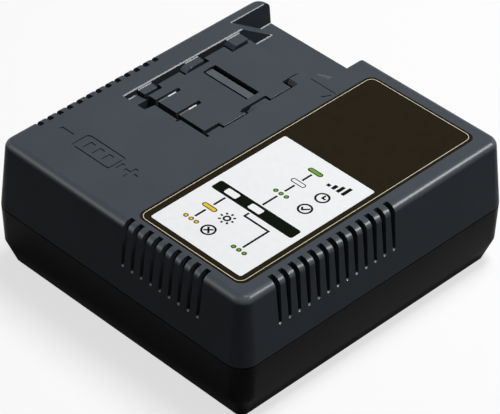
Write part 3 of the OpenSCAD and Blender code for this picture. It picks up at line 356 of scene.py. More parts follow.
def moulded_plastic(name, dark, light, rubbed_and_lit, specular, grain=0.35 * MM, depth=0.02 * MM, gloss=(0.3, 0.4)):
    """Grained plastic between two tones, with polished edges painted a little paler, as wear and as a painted
    highlight.
    """
    recipe = Recipe(name, sum(gloss) / 2, specular=specular)
    drift = recipe.noise(DRIFT_SIZE, 3)
    fine = recipe.noise(grain, 2)
    edge = worn_and_highlit_edges(recipe)
    plain = recipe.blend(dark, light, recipe.ramp(drift * 0.6 + fine * 0.4, *NARROW))
    # the edges' paler colour is partly wear and partly a painted highlight
    recipe.set(base_color=recipe.blend(plain, rubbed_and_lit, edge * recipe.ramp(drift, *WIDE, 0.7, 1.0)),
               roughness=recipe.ramp(drift * 0.5 + fine * 0.5, *NARROW, *gloss),
               coat_weight=edge * RUB_POLISH, coat_roughness=RUB_ROUGHNESS)
    recipe.bump(fine + recipe.noise(WAVE_SIZE, 1) * 0.5, depth)
    return recipe.material


upper_plastic = moulded_plastic("upper_plastic", srgb(68, 73, 79), srgb(72, 77, 84), srgb(77, 83, 89), 0.014)
lower_plastic = moulded_plastic("lower_plastic", srgb(12, 13, 12), srgb(16, 16, 15), srgb(28, 29, 28), 0.021)
print("plastics:", upper_plastic.name, lower_plastic.name)

# %% [markdown]
# ## Working on a copy
#
# The shells come as loose triangles. A copy is merged into one skin, which can then be edited as any mesh,
# and it stands for the given piece. These helpers select, paint and attach such a copy.

# %% Select, paint and copy
def select_only(*pieces):
    """Selects these pieces and nothing else, and makes the first one active."""
    bpy.ops.object.select_all(action="DESELECT")
    for piece in pieces:
        piece.select_set(True)
    bpy.context.view_layer.objects.active = pieces[0]


def paint(piece, material):
    """Gives a piece one material."""
    piece.data.materials.clear()
    piece.data.materials.append(material)


def finished(piece, name, material):
    """Names a piece, paints it if a material is given, and lets it ride on the charger."""
    piece.name = name
    if material:
        paint(piece, material)
    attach(piece, "root")
    return piece


def merged_copy(node, nearer_than=0.002 * MM):
    """A copy of a given piece whose triangles share their corners."""
    piece = nodes[node].copy()
    piece.data = nodes[node].data.copy()
    for key in list(piece.keys()):
        del piece[key]
    piece.parent = None
    SCENE.collection.objects.link(piece)
    select_only(piece)
    bpy.ops.mesh.customdata_custom_splitnormals_clear()
    bpy.ops.object.mode_set(mode="EDIT")
    bpy.ops.mesh.select_all(action="SELECT")
    bpy.ops.mesh.remove_doubles(threshold=nearer_than)
    bpy.ops.object.mode_set(mode="OBJECT")
    return piece


print("pieces that can be copied:", len(nodes))

# %% [markdown]
# ## Soft edges
#
# No moulded edge is sharp: each has a radius of a few tenths of a millimetre, and that is where light
# catches. One bevel modifier does it, but it would shrink everywhere to what its tightest corner allows, so
# it is weighted: only edges within a box are bevelled, and of those the ones that have twice the bevel's
# width free beside them. Two bevels that meet on a narrow face would cross and glitter.

# %% Bevel where there is room
SHARP = math.radians(35)
IN_LINE = 0.02 * MM
BEVEL_STEPS = 2


def room_beside(edge):
    """How far the nearest other edge at its ends reaches away from an edge."""
    room = edge.calc_length()
    for corner in edge.verts:
        along = (edge.other_vert(corner).co - corner.co).normalized()
        for other in corner.link_edges:
            way = other.other_vert(corner).co - corner.co
            across = (way - along * way.dot(along)).length
            if other is not edge and across > IN_LINE:
                room = min(room, across)
    return room


def inside(place, low, high):
    """Whether a place lies in the box between two corners."""
    return all(least <= value <= most for least, value, most in zip(low, place, high))


def rounded_edges(piece, width, low, high):
    """Bevels the sharp edges of a piece that lie between two corners and have room for it."""
    mesh = bmesh.new()
    mesh.from_mesh(piece.data)
    weight = mesh.edges.layers.float.new("bevel_weight_edge")
    chosen = 0
    for edge in mesh.edges:
        wanted = all(inside(corner.co, low, high) for corner in edge.verts) and len(edge.link_faces) == 2
        if wanted and edge.calc_face_angle() > SHARP and room_beside(edge) > 2 * width:
            edge[weight] = 1.0
            chosen += 1
    mesh.to_mesh(piece.data)
    mesh.free()
    bevel = piece.modifiers.new("edges", "BEVEL")
    bevel.limit_method = "WEIGHT"
    bevel.width = width
    bevel.segments = BEVEL_STEPS
    bevel.use_clamp_overlap = False
    select_only(piece)
    bpy.ops.object.modifier_apply(modifier=bevel.name)
    print("bevelled edges:", chosen)


print("sharp from an angle of", round(math.degrees(SHARP)), "degrees")

# %% [markdown]
# ## Even shading
#
# Smooth shading gives each corner one direction, mixed from the faces round it. Beside a wide flat wall, a
# narrow bevel would bend that direction and stain the wall with a gradient. So the flat patches are found
# first. Every face starts as a patch of its own, and two patches become one where they meet at an edge and
# lie in one plane.

# %% Find the flat patches
IN_ONE_PLANE = math.cos(math.radians(0.3))


def flat_areas(mesh):
    """For each face, the area of the whole flat patch that it belongs to."""
    owner = list(range(len(mesh.polygons)))

    def patch(index):
        while owner[index] != index:
            owner[index] = owner[owner[index]]
            index = owner[index]
        return index

    beside = {}
    for face in mesh.polygons:
        for edge in face.edge_keys:
            beside.setdefault(edge, []).append(face.index)
    for faces in beside.values():
        first, last = faces[0], faces[-1]
        if mesh.polygons[first].normal.dot(mesh.polygons[last].normal) > IN_ONE_PLANE:
            owner[patch(first)] = patch(last)
    area = {}
    for face in mesh.polygons:
        area[patch(face.index)] = area.get(patch(face.index), 0.0) + face.area
    return [area[patch(face.index)] for face in mesh.polygons]


print("faces are in one plane up to", round(math.degrees(math.acos(IN_ONE_PLANE)), 2), "degrees")

# %% [markdown]
# ## Directions from the patches
#
# At each corner of a face, the faces that meet there are mixed in the square of their patch's area, so the
# widest patch decides. Faces beyond a sharp edge stay out of the mix, and the edge stays sharp.

# %% Shade by the widest patch
SQUARE_CM = (10 * MM) ** 2


def even_shading(piece):
    """Smooth shading in which the widest flat patch at a corner decides its direction."""
    mesh = piece.data
    select_only(piece)
    bpy.ops.object.shade_smooth_by_angle(angle=SHARP)
    areas = flat_areas(mesh)
    around = [[] for _ in mesh.vertices]
    for face in mesh.polygons:
        for corner in face.vertices:
            around[corner].append((face.normal.copy(), areas[face.index] ** 2))
    directions = []
    for face in mesh.polygons:
        for corner in face.vertices:
            mixed = Vector((0, 0, 0))
            for normal, weight in around[corner]:
                if normal.dot(face.normal) > math.cos(SHARP):
                    mixed += normal * weight
            directions.append(mixed.normalized())
    mesh.normals_split_custom_set(directions)
    print("faces in patches of over a square centimetre:", sum(area > SQUARE_CM for area in areas))


# %% [markdown]
# ## Flat shapes
#
# Printing and engraving both start from flat shapes: a rectangle whose corners may be round, and its
# outline. A plane is scaled, its corners are bevelled, an inset leaves only a line if wanted, and an extrude
# gives thickness. The same shape printed is a film of ink, and subtracted from a shell it is a groove.

# %% A stamp
PLATE_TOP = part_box("label_plate")[1].z
INK = 0.05 * MM
CORNER_STEPS = 5
# a corner that took half the width would meet its neighbour
NEARLY_HALF = 0.499


def stamp(x, y, width, depth, radius=0.0, line=0.0, turn=0.0, bottom=PLATE_TOP, height=INK):
    """A flat solid about x, y in mm; radius rounds its corners, line keeps only an outline that wide."""
    bpy.ops.object.select_all(action="DESELECT")
    bpy.ops.mesh.primitive_plane_add(size=1, location=(x * MM, y * MM, bottom),
                                     rotation=(0, 0, math.radians(turn)))
    shape = bpy.context.active_object
    shape.scale = (width * MM, depth * MM, 1)
    bpy.ops.object.transform_apply(location=True, rotation=True, scale=True)
    bpy.ops.object.mode_set(mode="EDIT")
    bpy.ops.mesh.select_all(action="SELECT")
    if radius:
        round_mm = min(radius, NEARLY_HALF * min(width, depth))
        bpy.ops.mesh.bevel(offset=round_mm * MM, segments=CORNER_STEPS, affect="VERTICES")
        bpy.ops.mesh.select_all(action="SELECT")
    if line:
        bpy.ops.mesh.inset(thickness=line * MM)
        bpy.ops.mesh.delete(type="FACE")
        bpy.ops.mesh.select_all(action="SELECT")
    bpy.ops.mesh.extrude_region_move(TRANSFORM_OT_translate={"value": (0, 0, height)})
    bpy.ops.mesh.select_all(action="SELECT")
    bpy.ops.mesh.normals_make_consistent(inside=False)
    bpy.ops.object.mode_set(mode="OBJECT")
    return shape


print("prints lie at a height in mm of", round(PLATE_TOP / MM, 2))

# %% [markdown]
# ## What stamps are for
#
# A line between two places is a long stamp, turned. Stamps of one ink are joined into one piece, as they come
# from one screen. To engrave, a stamp is taken out of a shell by a Boolean modifier. Its exact solver copes
# with faces that lie in one plane, and the walls of a cut take the cutter's material, if it has one.

# %% Stroke, join and cut
def stroke(from_x, from_y, to_x, to_y, width, **kind):
    """A straight line between two places in mm."""
    length = math.hypot(to_x - from_x, to_y - from_y)
    turn = math.degrees(math.atan2(to_y - from_y, to_x - from_x))
    return stamp((from_x + to_x) / 2, (from_y + to_y) / 2, length, width, turn=turn, **kind)


def joined(shapes):
    """Several shapes as one mesh."""
    select_only(*shapes)
    if len(shapes) > 1:
        bpy.ops.object.join()
    return bpy.context.active_object


def cut_out(piece, cutter):
    """Takes one solid out of another and removes the cutter."""
    cut = piece.modifiers.new("cut", "BOOLEAN")
    cut.operation = "DIFFERENCE"
    cut.solver = "EXACT"
    cut.material_mode = "TRANSFER"
    cut.object = cutter
    select_only(piece)
    bpy.ops.object.modifier_apply(modifier=cut.name)
    bpy.data.objects.remove(cutter)


print("length in mm of a stroke from 0, 0 to 3, 4:", math.hypot(3, 4))

# %% [markdown]
# ## A skin inside the wall
#
# The upper shell carries the dock and the slots. Where its rounded rim stands on the side, a thin level skin
# is left inside the wall. It can't be seen, but its corners belong to the outside too and would bend the
# shading there. Such a skin starts at edges that more than two faces share, so the selection spreads from
# those over level faces, and what it reaches is deleted.

# %% Clean the upper shell
RIM_FOOT = (TOP_Z - 4.4 * MM, TOP_Z - 3.8 * MM)
NEARLY_LEVEL = 0.9


def inner_skin(piece, low, high):
    """The level faces between two heights that spread from edges with more than two faces."""
    mesh = bmesh.new()
    mesh.from_mesh(piece.data)
    level = {face for face in mesh.faces
             if abs(face.normal.z) > NEARLY_LEVEL and all(low < corner.co.z < high for corner in face.verts)}
    todo = [face for edge in mesh.edges if len(edge.link_faces) > 2 for face in edge.link_faces]
    skin = set()
    while todo:
        face = todo.pop()
        if face in level and face not in skin:
            skin.add(face)
            todo += [other for edge in face.edges for other in edge.link_faces]
    chosen = {face.index for face in skin}
    mesh.free()
    return chosen


def drop_faces(piece, chosen):
    """Deletes faces by their numbers."""
    select_only(piece)
    bpy.ops.object.mode_set(mode="EDIT")
    bpy.ops.mesh.select_mode(type="FACE")
    bpy.ops.mesh.select_all(action="DESELECT")
    bpy.ops.object.mode_set(mode="OBJECT")
    for face in piece.data.polygons:
        face.select = face.index in chosen
    bpy.ops.object.mode_set(mode="EDIT")
    bpy.ops.mesh.delete(type="FACE")
    bpy.ops.mesh.select_mode(type="VERT")
    bpy.ops.object.mode_set(mode="OBJECT")
    print("faces deleted:", len(chosen))


upper_shell = merged_copy("top_cover")
drop_faces(upper_shell, inner_skin(upper_shell, *RIM_FOOT))
paint(upper_shell, upper_plastic)

# %% [markdown]
# ## Draft in the dock
#
# A mould's walls lean a little, or the part would stick. In the dock that takes some plastic off the tips of
# two hooks and off the deck's front, which widens the dark gaps beside them. The blocks to take off are cut
# before the bevel, so that the new edges are rounded like the old.

# %% Draft and bevel the dock
DOCK_LOW = Vector((-67, -24, 58)) * MM
DOCK_HIGH = Vector((0, 88, 80)) * MM
DOCK_BEVEL = 0.4 * MM
# left and right, front and rear, and how far under the top it ends and starts, in mm
DRAFT = {"front hook": (-20.3, -18.5, -12.5, -1.0, 4.5, 0),
         "middle hook": (-20.3, -19.1, 12.6, 29.0, 4.5, 0),
         "deck front": (-58.4, -21.2, -10.6, -9.5, 10.9, 1.95)}


def slice_of(left, right, front, rear, below, above):
    """A block to take off the dock."""
    return stamp((left + right) / 2, (front + rear) / 2, right - left, rear - front,
                 bottom=TOP_Z - below * MM, height=(below - above) * MM)


for cutter in [slice_of(*limits) for limits in DRAFT.values()]:
    cut_out(upper_shell, cutter)
rounded_edges(upper_shell, DOCK_BEVEL, DOCK_LOW, DOCK_HIGH)
print("drafted:", list(DRAFT))

# %% [markdown]
# ## Engraving
#
# Where such a charger names its kind of cell, this one shows a plain row of signs instead: minus, a cell
# seen from the side, plus. They are moulded in as recesses half a millimetre deep. Two short score lines
# beside the dock come from the mould as well, and a square bar on its edge takes the corner off the rear
# bay's wall. All this is cut after the bevel, so that the edges stay crisp.

# %% Engrave the upper shell
MARK_W = 1.5
GROOVE_DEPTH = 0.5 * MM
GROOVE = {"bottom": TOP_Z - GROOVE_DEPTH, "height": 2 * GROOVE_DEPTH}
MARK_X, MARK_Y = -41.0, -57.0
# from x, y to x, y, and the width, in mm
SCORES = [(-13.6, 52.6, 3.0, 52.4, 0.45), (-0.4, 45.7, 2.0, 50.2, 0.6)]


def cell_mark(x, y):
    """A minus, the outline of a long cell with its pole and three bars, and a plus."""
    body_l, body_h, pole_l, pole_h, bar_w, sign_l, sign_x = 26.0, 12.0, 2.0, 5.0, 3.4, 8.4, 21.5
    bar_gap, bar_inset, round_r, sign_w = 6.2, 6.4, 0.6, MARK_W + 0.6
    shapes = [stamp(x, y, body_l, body_h, 2.4, MARK_W, **GROOVE),
              stamp(x + (body_l + pole_l) / 2 + round_r, y, pole_l, pole_h, round_r, **GROOVE)]
    for step in (-1, 0, 1):
        shapes.append(stamp(x + step * bar_gap, y, bar_w, body_h - bar_inset, round_r, **GROOVE))
    for sign in (-1, 1):
        shapes.append(stamp(x + sign * sign_x, y, sign_l, sign_w, round_r, **GROOVE))
    return shapes + [stamp(x + sign_x, y, sign_w, sign_l, round_r, **GROOVE)]


def bay_edge(x=-71.9, from_y=57.2, to_y=79.4, side=0.6):
    """A square bar on its edge, that bevels the rear bay's left wall where it meets the top."""
    bpy.ops.object.select_all(action="DESELECT")
    bpy.ops.mesh.primitive_cube_add(size=MM, location=(x * MM, (from_y + to_y) / 2 * MM, TOP_Z),
                                    rotation=(0, math.radians(45), 0))
    bar = bpy.context.active_object
    bar.scale = (side, to_y - from_y, side)
    bpy.ops.object.transform_apply(location=True, rotation=True, scale=True)
    return bar


score_lines = [stroke(*score, **GROOVE) for score in SCORES]
for cutter in [bay_edge()] + cell_mark(MARK_X, MARK_Y) + score_lines:
    cut_out(upper_shell, cutter)
print("upper shell faces:", len(upper_shell.data.polygons))

# %% [markdown]
# ## Slot ends
#
# Each cooling slot runs out in a small polished scoop, whose pale colour is a painted highlight: the only
# bright specks on the dark walls. The slots stand in even rows, so a row is counted out from its middle, and
# a ray cast at the shell finds the wall. One ball is made and copied to each place. Together they are one
# cutter, whose own material the cut hands on to the shell.

# %% A polished scoop under each slot
SLOT_PITCH, SLOT_END, SCOOP_R = 6 * MM, PARTING_Z + 14 * MM, 0.8 * MM
# how many slots a row has, and its middle
SIDE_ROW, FRONT_ROW = (13, -25.8 * MM), (9, 29.3 * MM)
FAR_OUT = 0.2


def row_places(count, middle):
    """Where the slots of a row stand, counted out from its middle."""
    return [middle + (step - (count - 1) / 2) * SLOT_PITCH for step in range(count)]


def scoop_places():
    """Where a level ray from outside meets the wall just under each slot's end."""
    rays_in = [((side * FAR_OUT, y), (-side, 0, 0)) for y in row_places(*SIDE_ROW) for side in (-1, 1)]
    rays_in += [((x, -FAR_OUT), (0, 1, 0)) for x in row_places(*FRONT_ROW)]
    return [upper_shell.ray_cast(Vector((*start, SLOT_END - SCOOP_R)), Vector(way))[1]
            for start, way in rays_in]


def scoops_at(places):
    """One ball, copied to every place, as one mesh."""
    bpy.ops.object.select_all(action="DESELECT")
    bpy.ops.mesh.primitive_ico_sphere_add(subdivisions=3, radius=SCOOP_R, location=(0, 0, SLOT_END))
    ball = bpy.context.active_object
    bpy.ops.object.transform_apply(location=True, rotation=True, scale=True)
    balls = []
    for place in places:
        scoop = ball.copy()
        scoop.data = ball.data.copy()
        scoop.data.transform(Matrix.Translation((place.x, place.y, 0)))
        SCENE.collection.objects.link(scoop)
        balls.append(scoop)
    bpy.data.objects.remove(ball)
    return joined(balls)


# a glossy plastic whose pale base colour is a painted highlight
polished_highlight_plastic = Recipe("polished_highlight_plastic", 0.15, specular=0.5)
polished_highlight_plastic.set(base_color=polished_highlight_plastic.blend(srgb(150, 154, 158), srgb(172, 176, 180),
                                                       polished_highlight_plastic.noise(0.4 * MM)))
scoops = scoops_at(scoop_places())
paint(scoops, polished_highlight_plastic.material)
cut_out(upper_shell, scoops)
even_shading(upper_shell)
finished(upper_shell, "upper_shell", None)
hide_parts("top_cover")
print("materials of the upper shell:", [material.name for material in upper_shell.data.materials])

# %% [markdown]
# ## Plastics of the pieces in the dock
#
# The battery pack slides over both pieces that stand loose in the dock. The catch plate is paler plastic, of
# the housing's kind. The carrier's walls are painted nearly black as painted shade in the gap, and only its
# tops are painted pale, partly as wear from the pack and partly as a painted highlight. So its mask is a
# height and not a direction: its walls stay dark down into the gap.

# %% Two dock plastics
WORN_AND_LIT_DEPTH = 2.6 * MM


def worn_and_lit_tops(name, body, rubbed_and_lit, height, grain=0.4 * MM, depth=0.01 * MM, gloss=(0.34, 0.46)):
    """A plastic painted dark below a height as painted shade, and pale above it as wear and a painted
    highlight.
    """
    recipe = Recipe(name, sum(gloss) / 2, specular=0.02)
    fine = recipe.noise(grain)
    worn_and_lit_top = (recipe.axis("Z") > height) * recipe.ramp(fine, *WIDE, 0.85, 1.0)
    recipe.set(base_color=recipe.blend(body, rubbed_and_lit, worn_and_lit_top), roughness=recipe.ramp(fine, *WIDE, *gloss))
    recipe.bump(fine, depth)
    return recipe.material


catch_plastic = moulded_plastic("catch_plastic", srgb(84, 89, 94), srgb(90, 95, 100), srgb(104, 109, 114),
                                0.02)
# the carrier's dark body is painted shade, and its pale tops are wear and a painted highlight
carrier_lit_and_shaded = worn_and_lit_tops("carrier_lit_and_shaded", srgb(22, 24, 26), srgb(112, 113, 116), TOP_Z - WORN_AND_LIT_DEPTH)
print("the carrier is pale above, in mm:", round((TOP_Z - WORN_AND_LIT_DEPTH) / MM, 1))

# %% [markdown]
# ## Catch plate and terminal carrier
#
# Each stands in the dock with a dark gap round it. The near walls are drawn in a little, as the mould's draft
# leaves them, and the edges are bevelled like the shell's, only finer.

# %% Copies with a drafted front
FINE_BEVEL = 0.2 * MM
AT_THE_FRONT = 0.05 * MM


def drawn_in(node, name, material, by):
    """A bevelled copy whose front face stands back by a distance."""
    piece = merged_copy(node)
    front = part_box(node)[0].y
    for corner in piece.data.vertices:
        corner.select = abs(corner.co.y - front) < AT_THE_FRONT
    bpy.ops.object.mode_set(mode="EDIT")
    bpy.ops.transform.translate(value=(0, by, 0))
    bpy.ops.object.mode_set(mode="OBJECT")
    rounded_edges(piece, FINE_BEVEL, DOCK_LOW, DOCK_HIGH)
    even_shading(piece)
    finished(piece, name, material)
    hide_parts(node)
    print(name, "faces:", len(piece.data.polygons))


drawn_in("latch_stop", "catch_plate", catch_plastic, 0.65 * MM)
drawn_in("terminal_holder", "terminal_carrier", carrier_lit_and_shaded, 0.8 * MM)

# %% [markdown]
# ## The lower shell
#
# The tray below is nearly black. Its groove, curved walls and wells are there already, with no room beside
# them for a bevel, so it is only merged into one skin and gets its even shading.

# %% Shade the tray
lower_shell = merged_copy("bottom_cover")
even_shading(lower_shell)
finished(lower_shell, "lower_shell", lower_plastic)
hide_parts("bottom_cover")
print("lower shell faces:", len(lower_shell.data.polygons))

# %% [markdown]
# ## Plain finishes
#
# Most other surfaces need no pattern of their own, only what keeps them from looking like one flat colour:
# a drift of a few percent in colour and gloss, and relief at the scale of their making. One function does
# that from a colour and a range of roughness. Metals get relief stretched along the direction of rolling.

# %% Grainy and drawn surfaces
def tinted(colour, share):
    """A colour made darker or lighter by a share."""
    return tuple(part * share for part in colour[:3]) + (1.0,)


def grainy(name, colour, gloss, grain=0.4 * MM, spread=0.12, depth=0.01 * MM, stretch=None, **shader):
    """A finish whose colour and gloss drift a little over fine relief."""
    recipe = Recipe(name, sum(gloss) / 2, **shader)
    place = recipe.place
    if stretch:
        place = recipe.node("ShaderNodeMapping", {}, {"Vector": place, "Scale": stretch})
    cloud = recipe.noise(grain * 20, 3) * 0.4 + recipe.noise(grain, 2, place) * 0.6
    recipe.set(base_color=recipe.blend(tinted(colour, 1 - spread), tinted(colour, 1 + spread),
                                       recipe.ramp(cloud, *NARROW)),
               roughness=recipe.ramp(cloud, *NARROW, *gloss))
    recipe.bump(cloud, depth)
    return recipe.material


print("a darker grey:", [round(part, 3) for part in tinted(srgb(119, 119, 119), 0.8)[:3]])

# %% [markdown]
# ## Finishes of the given pieces
#
# The pieces that keep their given shape only need their finish. A table from piece to material keeps them
# together: first what shows in the dock, on the plate and underneath, then the plastics, metals and rubber
# inside the case.

# %% Plastics, rubber and plain metals
METAL = {"metallic": 1.0}
DULL = {"specular": 0.1}
plate_brown = grainy("plate_brown", srgb(33, 27, 15), (0.34, 0.42), grain=0.2 * MM, specular=0.02)
guide_milk = grainy("guide_milk", srgb(236, 237, 238), (0.2, 0.3), spread=0.01, specular=0.3)
foot_rubber = grainy("foot_rubber", srgb(24, 24, 25), (0.6, 0.75), grain=0.8 * MM, depth=0.03 * MM, **DULL)
bush_rubber = grainy("bush_rubber", srgb(20, 20, 21), (0.45, 0.6), grain=0.6 * MM, depth=0.02 * MM, **DULL)
contact_tin = grainy("contact_tin", srgb(222, 223, 224), (0.16, 0.26), grain=0.1 * MM, spread=0.04,
                     stretch=(1, 1, 0.05), **METAL)
screw_zinc = grainy("screw_zinc", srgb(168, 172, 176), (0.28, 0.4), grain=0.2 * MM, spread=0.08, **METAL)
clip_brass = grainy("clip_brass", srgb(200, 186, 140), (0.22, 0.34), grain=0.2 * MM, stretch=(0.1, 1, 1),
                    **METAL)
sink_aluminium = grainy("sink_aluminium", srgb(196, 199, 202), (0.3, 0.44), grain=0.3 * MM, spread=0.08,
                        stretch=(1, 1, 0.04), **METAL)
copper_wire = grainy("copper_wire", srgb(186, 104, 60), (0.2, 0.3), grain=0.3 * MM, **METAL)
lead_red = grainy("lead_red", srgb(168, 26, 22), (0.3, 0.42), spread=0.06)
lead_black = grainy("lead_black", srgb(22, 22, 23), (0.3, 0.42), spread=0.1)
ferrite = grainy("ferrite", srgb(60, 60, 62), (0.5, 0.7), grain=0.5 * MM, spread=0.3, depth=0.04 * MM)
bobbin_resin = grainy("bobbin_resin", srgb(40, 30, 24), (0.35, 0.5))
device_epoxy = grainy("device_epoxy", srgb(28, 28, 30), (0.45, 0.6), grain=0.2 * MM, depth=0.02 * MM)
film_case = grainy("film_case", srgb(202, 166, 48), (0.2, 0.32), spread=0.05)
nylon = grainy("nylon", srgb(226, 222, 204), (0.3, 0.42), spread=0.04)
ribbon_vinyl = grainy("ribbon_vinyl", srgb(176, 176, 172), (0.35, 0.5), spread=0.06)
lamp_resin = grainy("lamp_resin", srgb(226, 214, 140), (0.12, 0.2), spread=0.05)
print("materials so far:", len(bpy.data.materials))

# %% [markdown]
# ## Board and tape
#
# Some finishes inside have a pattern that says what they are. The board shows its tracks through green
# lacquer, where a cellular texture with straight sides gives the tracks' corners. The tape round the
# transformer is wound turn on turn, so a wave along its height bands it.

# %% Lacquer and tape
def lacquered_board(cells_per_metre=260):
    """Green lacquer, paler where it lies over copper."""
    recipe = Recipe("board_lacquer", 0.3)
    edge = recipe.node("ShaderNodeTexVoronoi", {"distance": "CHEBYCHEV"},
                       {"Vector": recipe.place, "Scale": cells_per_metre})
    track = recipe.ramp(edge, 0.30, 0.36)
    recipe.set(base_color=recipe.blend(srgb(18, 74, 40), srgb(34, 110, 58), track),
               roughness=recipe.ramp(recipe.noise(2 * MM), *WIDE, 0.22, 0.36))
    recipe.bump(track, 0.03 * MM)
    return recipe.material


def banded_tape(turn=1.2 * MM):
    """Yellow tape, with an edge after every turn."""
    recipe = Recipe("banded_tape", 0.35)
    band = (recipe.axis("Z") * (1 / turn)).maths("PINGPONG", 0.5) * 2
    recipe.set(base_color=recipe.blend(srgb(166, 122, 34), srgb(206, 166, 62), band),
               roughness=recipe.ramp(recipe.noise(1 * MM), *WIDE, 0.28, 0.42))
    recipe.bump(band, 0.1 * MM)
    return recipe.material


board_lacquer, tape = lacquered_board(), banded_tape()
print("patterned:", board_lacquer.name, tape.name)

# %% [markdown]
# ## Cans and fuse
#
# An electrolytic can has a printed stripe on its sleeve and bare metal on its lid. The fuse is a glass tube
# between metal caps. Both kinds of metal are masks from the place on the piece, so its box has to be known.

# %% Sleeve and glass
SLEEVE_RIM, LID_DEPTH, STRIPE_HALF = 1.2 * MM, 0.4 * MM, 2.2 * MM
FUSE_CAP = 5.2 * MM


def sleeved_can(node, colour):
    """A printed sleeve with a pale stripe down one side, and a bare lid."""
    low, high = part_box(node)
    middle, lid_r = (low + high) / 2, (high.x - low.x) / 2 - SLEEVE_RIM
    recipe = Recipe(node + "_sleeve", 0.3)
    across, along = recipe.axis("X") - middle.x, recipe.axis("Y") - middle.y
    stripe = (across > 0) * (along < STRIPE_HALF) * (along > -STRIPE_HALF)
    on_lid = (recipe.axis("Z") > high.z - LID_DEPTH) * (across * across + along * along < lid_r * lid_r)
    sleeve = recipe.blend(colour, srgb(190, 192, 194), stripe)
    recipe.set(base_color=recipe.blend(sleeve, srgb(200, 202, 204), on_lid), metallic=on_lid,
               roughness=recipe.ramp(recipe.noise(4 * MM), *WIDE, 0.22, 0.36))
    return recipe.material


def glass_fuse():
    """Glass in the middle and bare metal at both ends."""
    low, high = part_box("fuse")
    recipe = Recipe("fuse_glass", 0.05)
    from_middle = (recipe.axis("X") - (low.x + high.x) / 2).maths("ABSOLUTE")
    cap = from_middle > (high.x - low.x) / 2 - FUSE_CAP
    recipe.set(transmission_weight=1.0, metallic=cap,
               base_color=recipe.blend(srgb(232, 238, 238), srgb(196, 196, 190), cap),
               roughness=recipe.ramp(recipe.noise(1 * MM), *WIDE, 0.04, 0.12))
    return recipe.material


print("width of a sleeve's stripe in mm:", round(2 * STRIPE_HALF / MM, 1))

# %% [markdown]
# ## Who gets what
#
# Two pieces of one kind share a material, as they come from one box of parts: the feet, the screws, the two
# heat sinks. One table says it for every piece that is used as given, so a piece that was forgotten shows
# up when the table is compared with the list of pieces. Those left over are the four that copies replace.

# %% Every given piece gets its finish
FINISHES = {
    "label_plate": plate_brown, "light_guide_left": guide_milk, "light_guide_right": guide_milk,
    "indicator_led_left": lamp_resin, "indicator_led_right": lamp_resin,
    "indicator_board": board_lacquer, "indicator_ribbon": ribbon_vinyl,
    "positive_blade": contact_tin, "negative_blade": contact_tin,
    "positive_lead": lead_red, "negative_lead": lead_black, "main_board": board_lacquer,
    "transformer_core": ferrite, "transformer_bobbin": bobbin_resin, "transformer_winding": tape,
    "bulk_capacitor": sleeved_can("bulk_capacitor", srgb(26, 28, 32)),
    "output_capacitor_left": sleeved_can("output_capacitor_left", srgb(32, 44, 92)),
    "output_capacitor_right": sleeved_can("output_capacitor_right", srgb(32, 44, 92)),
    "primary_heat_sink": sink_aluminium, "output_heat_sink": sink_aluminium,
    "power_transistor": device_epoxy, "output_rectifier": device_epoxy, "control_chip": device_epoxy,
    "line_choke_core": ferrite, "line_choke_winding": copper_wire, "film_capacitor": film_case,
    "fuse": glass_fuse(), "fuse_clips": clip_brass, "mains_connector": nylon,
    "cord_grommet": bush_rubber, "foot_front_left": foot_rubber, "foot_front_right": foot_rubber,
    "foot_rear_left": foot_rubber, "foot_rear_right": foot_rubber, "case_screws": screw_zinc,
    "board_screws": screw_zinc, "holder_screws": screw_zinc, "device_screws": screw_zinc}

for name, finish in FINISHES.items():
    paint(nodes[name], finish)
print("still without a finish:", sorted(set(nodes) - set(FINISHES)))

# %% [markdown]
# ## The printed face plate
#
# The plate is a thin sheet, printed from screens: each ink is one film over the sheet. So each ink becomes
# one mesh of stamps, at most 0.05 mm thick, on the sheet's top. First come the pale field and the black bar
# round the two windows, through which the lamps' light guides show, then the dark margin and its frame line.

# %% Frame, field and bar
# x, y, width and depth in mm
FRAME = (37.0, -0.2, 64.7, 149.6)
FIELD = (37.35, -29.3, 56.9, 84.2)
BAR = (37.5, -34.2, 50.6, 6.8)
WINDOWS = [(22.4, -34.1), (37.5, -34.1)]
WINDOW_W, WINDOW_H, WINDOW_R = 7.6, 3.8, 0.8
MARGIN_R, FIELD_R, BAR_R, LINE_R = 4.2, 1.2, 1.3, 3.8
MARGIN_W, LINE_W, LINE_IN = 1.35, 0.34, 0.45
THIN_INK = 0.6 * INK
INK_GLOSS = (0.38, 0.46)


def ink(name, colour, shapes):
    """One film of ink on the plate."""
    dried_ink = grainy(name + "_ink", colour, INK_GLOSS, grain=0.15 * MM, spread=0.03, specular=0.015)
    film = finished(joined(shapes), name, dried_ink)
    print(name, "faces:", len(film.data.polygons))
    return film


def open_windows(film):
    """Cuts both windows out of a film."""
    for x, y in WINDOWS:
        cut_out(film, stamp(x, y, WINDOW_W, WINDOW_H, WINDOW_R, bottom=PLATE_TOP - INK, height=4 * INK))


frame_x, frame_y, frame_w, frame_d = FRAME
open_windows(ink("print_field", srgb(235, 236, 237), [stamp(*FIELD, FIELD_R, height=THIN_INK)]))
open_windows(ink("print_bar", srgb(8, 14, 6), [stamp(*BAR, BAR_R)]))
ink("print_margin", srgb(15, 13, 8), [stamp(*FRAME, MARGIN_R, line=MARGIN_W, height=THIN_INK)])
ink("print_frame", srgb(216, 208, 180),
    [stamp(frame_x, frame_y, frame_w - 2 * LINE_IN, frame_d - 2 * LINE_IN, LINE_R, line=LINE_W)])

# %% [markdown]
# ## The legend
#
# A key beside the lamps says what they show, in signs that need no words: a full capsule is a steady light,
# a hollow one is off, and three dots are a flashing light. A thin line leads from each window through its
# states, and beside each state stands a small sign. All signs are strokes and rings of one line width.

# %% Signs
LINE = 1.0


def ring(x, y, size=7.4):
    """A round outline."""
    return stamp(x, y, size, size, size / 2, line=LINE)


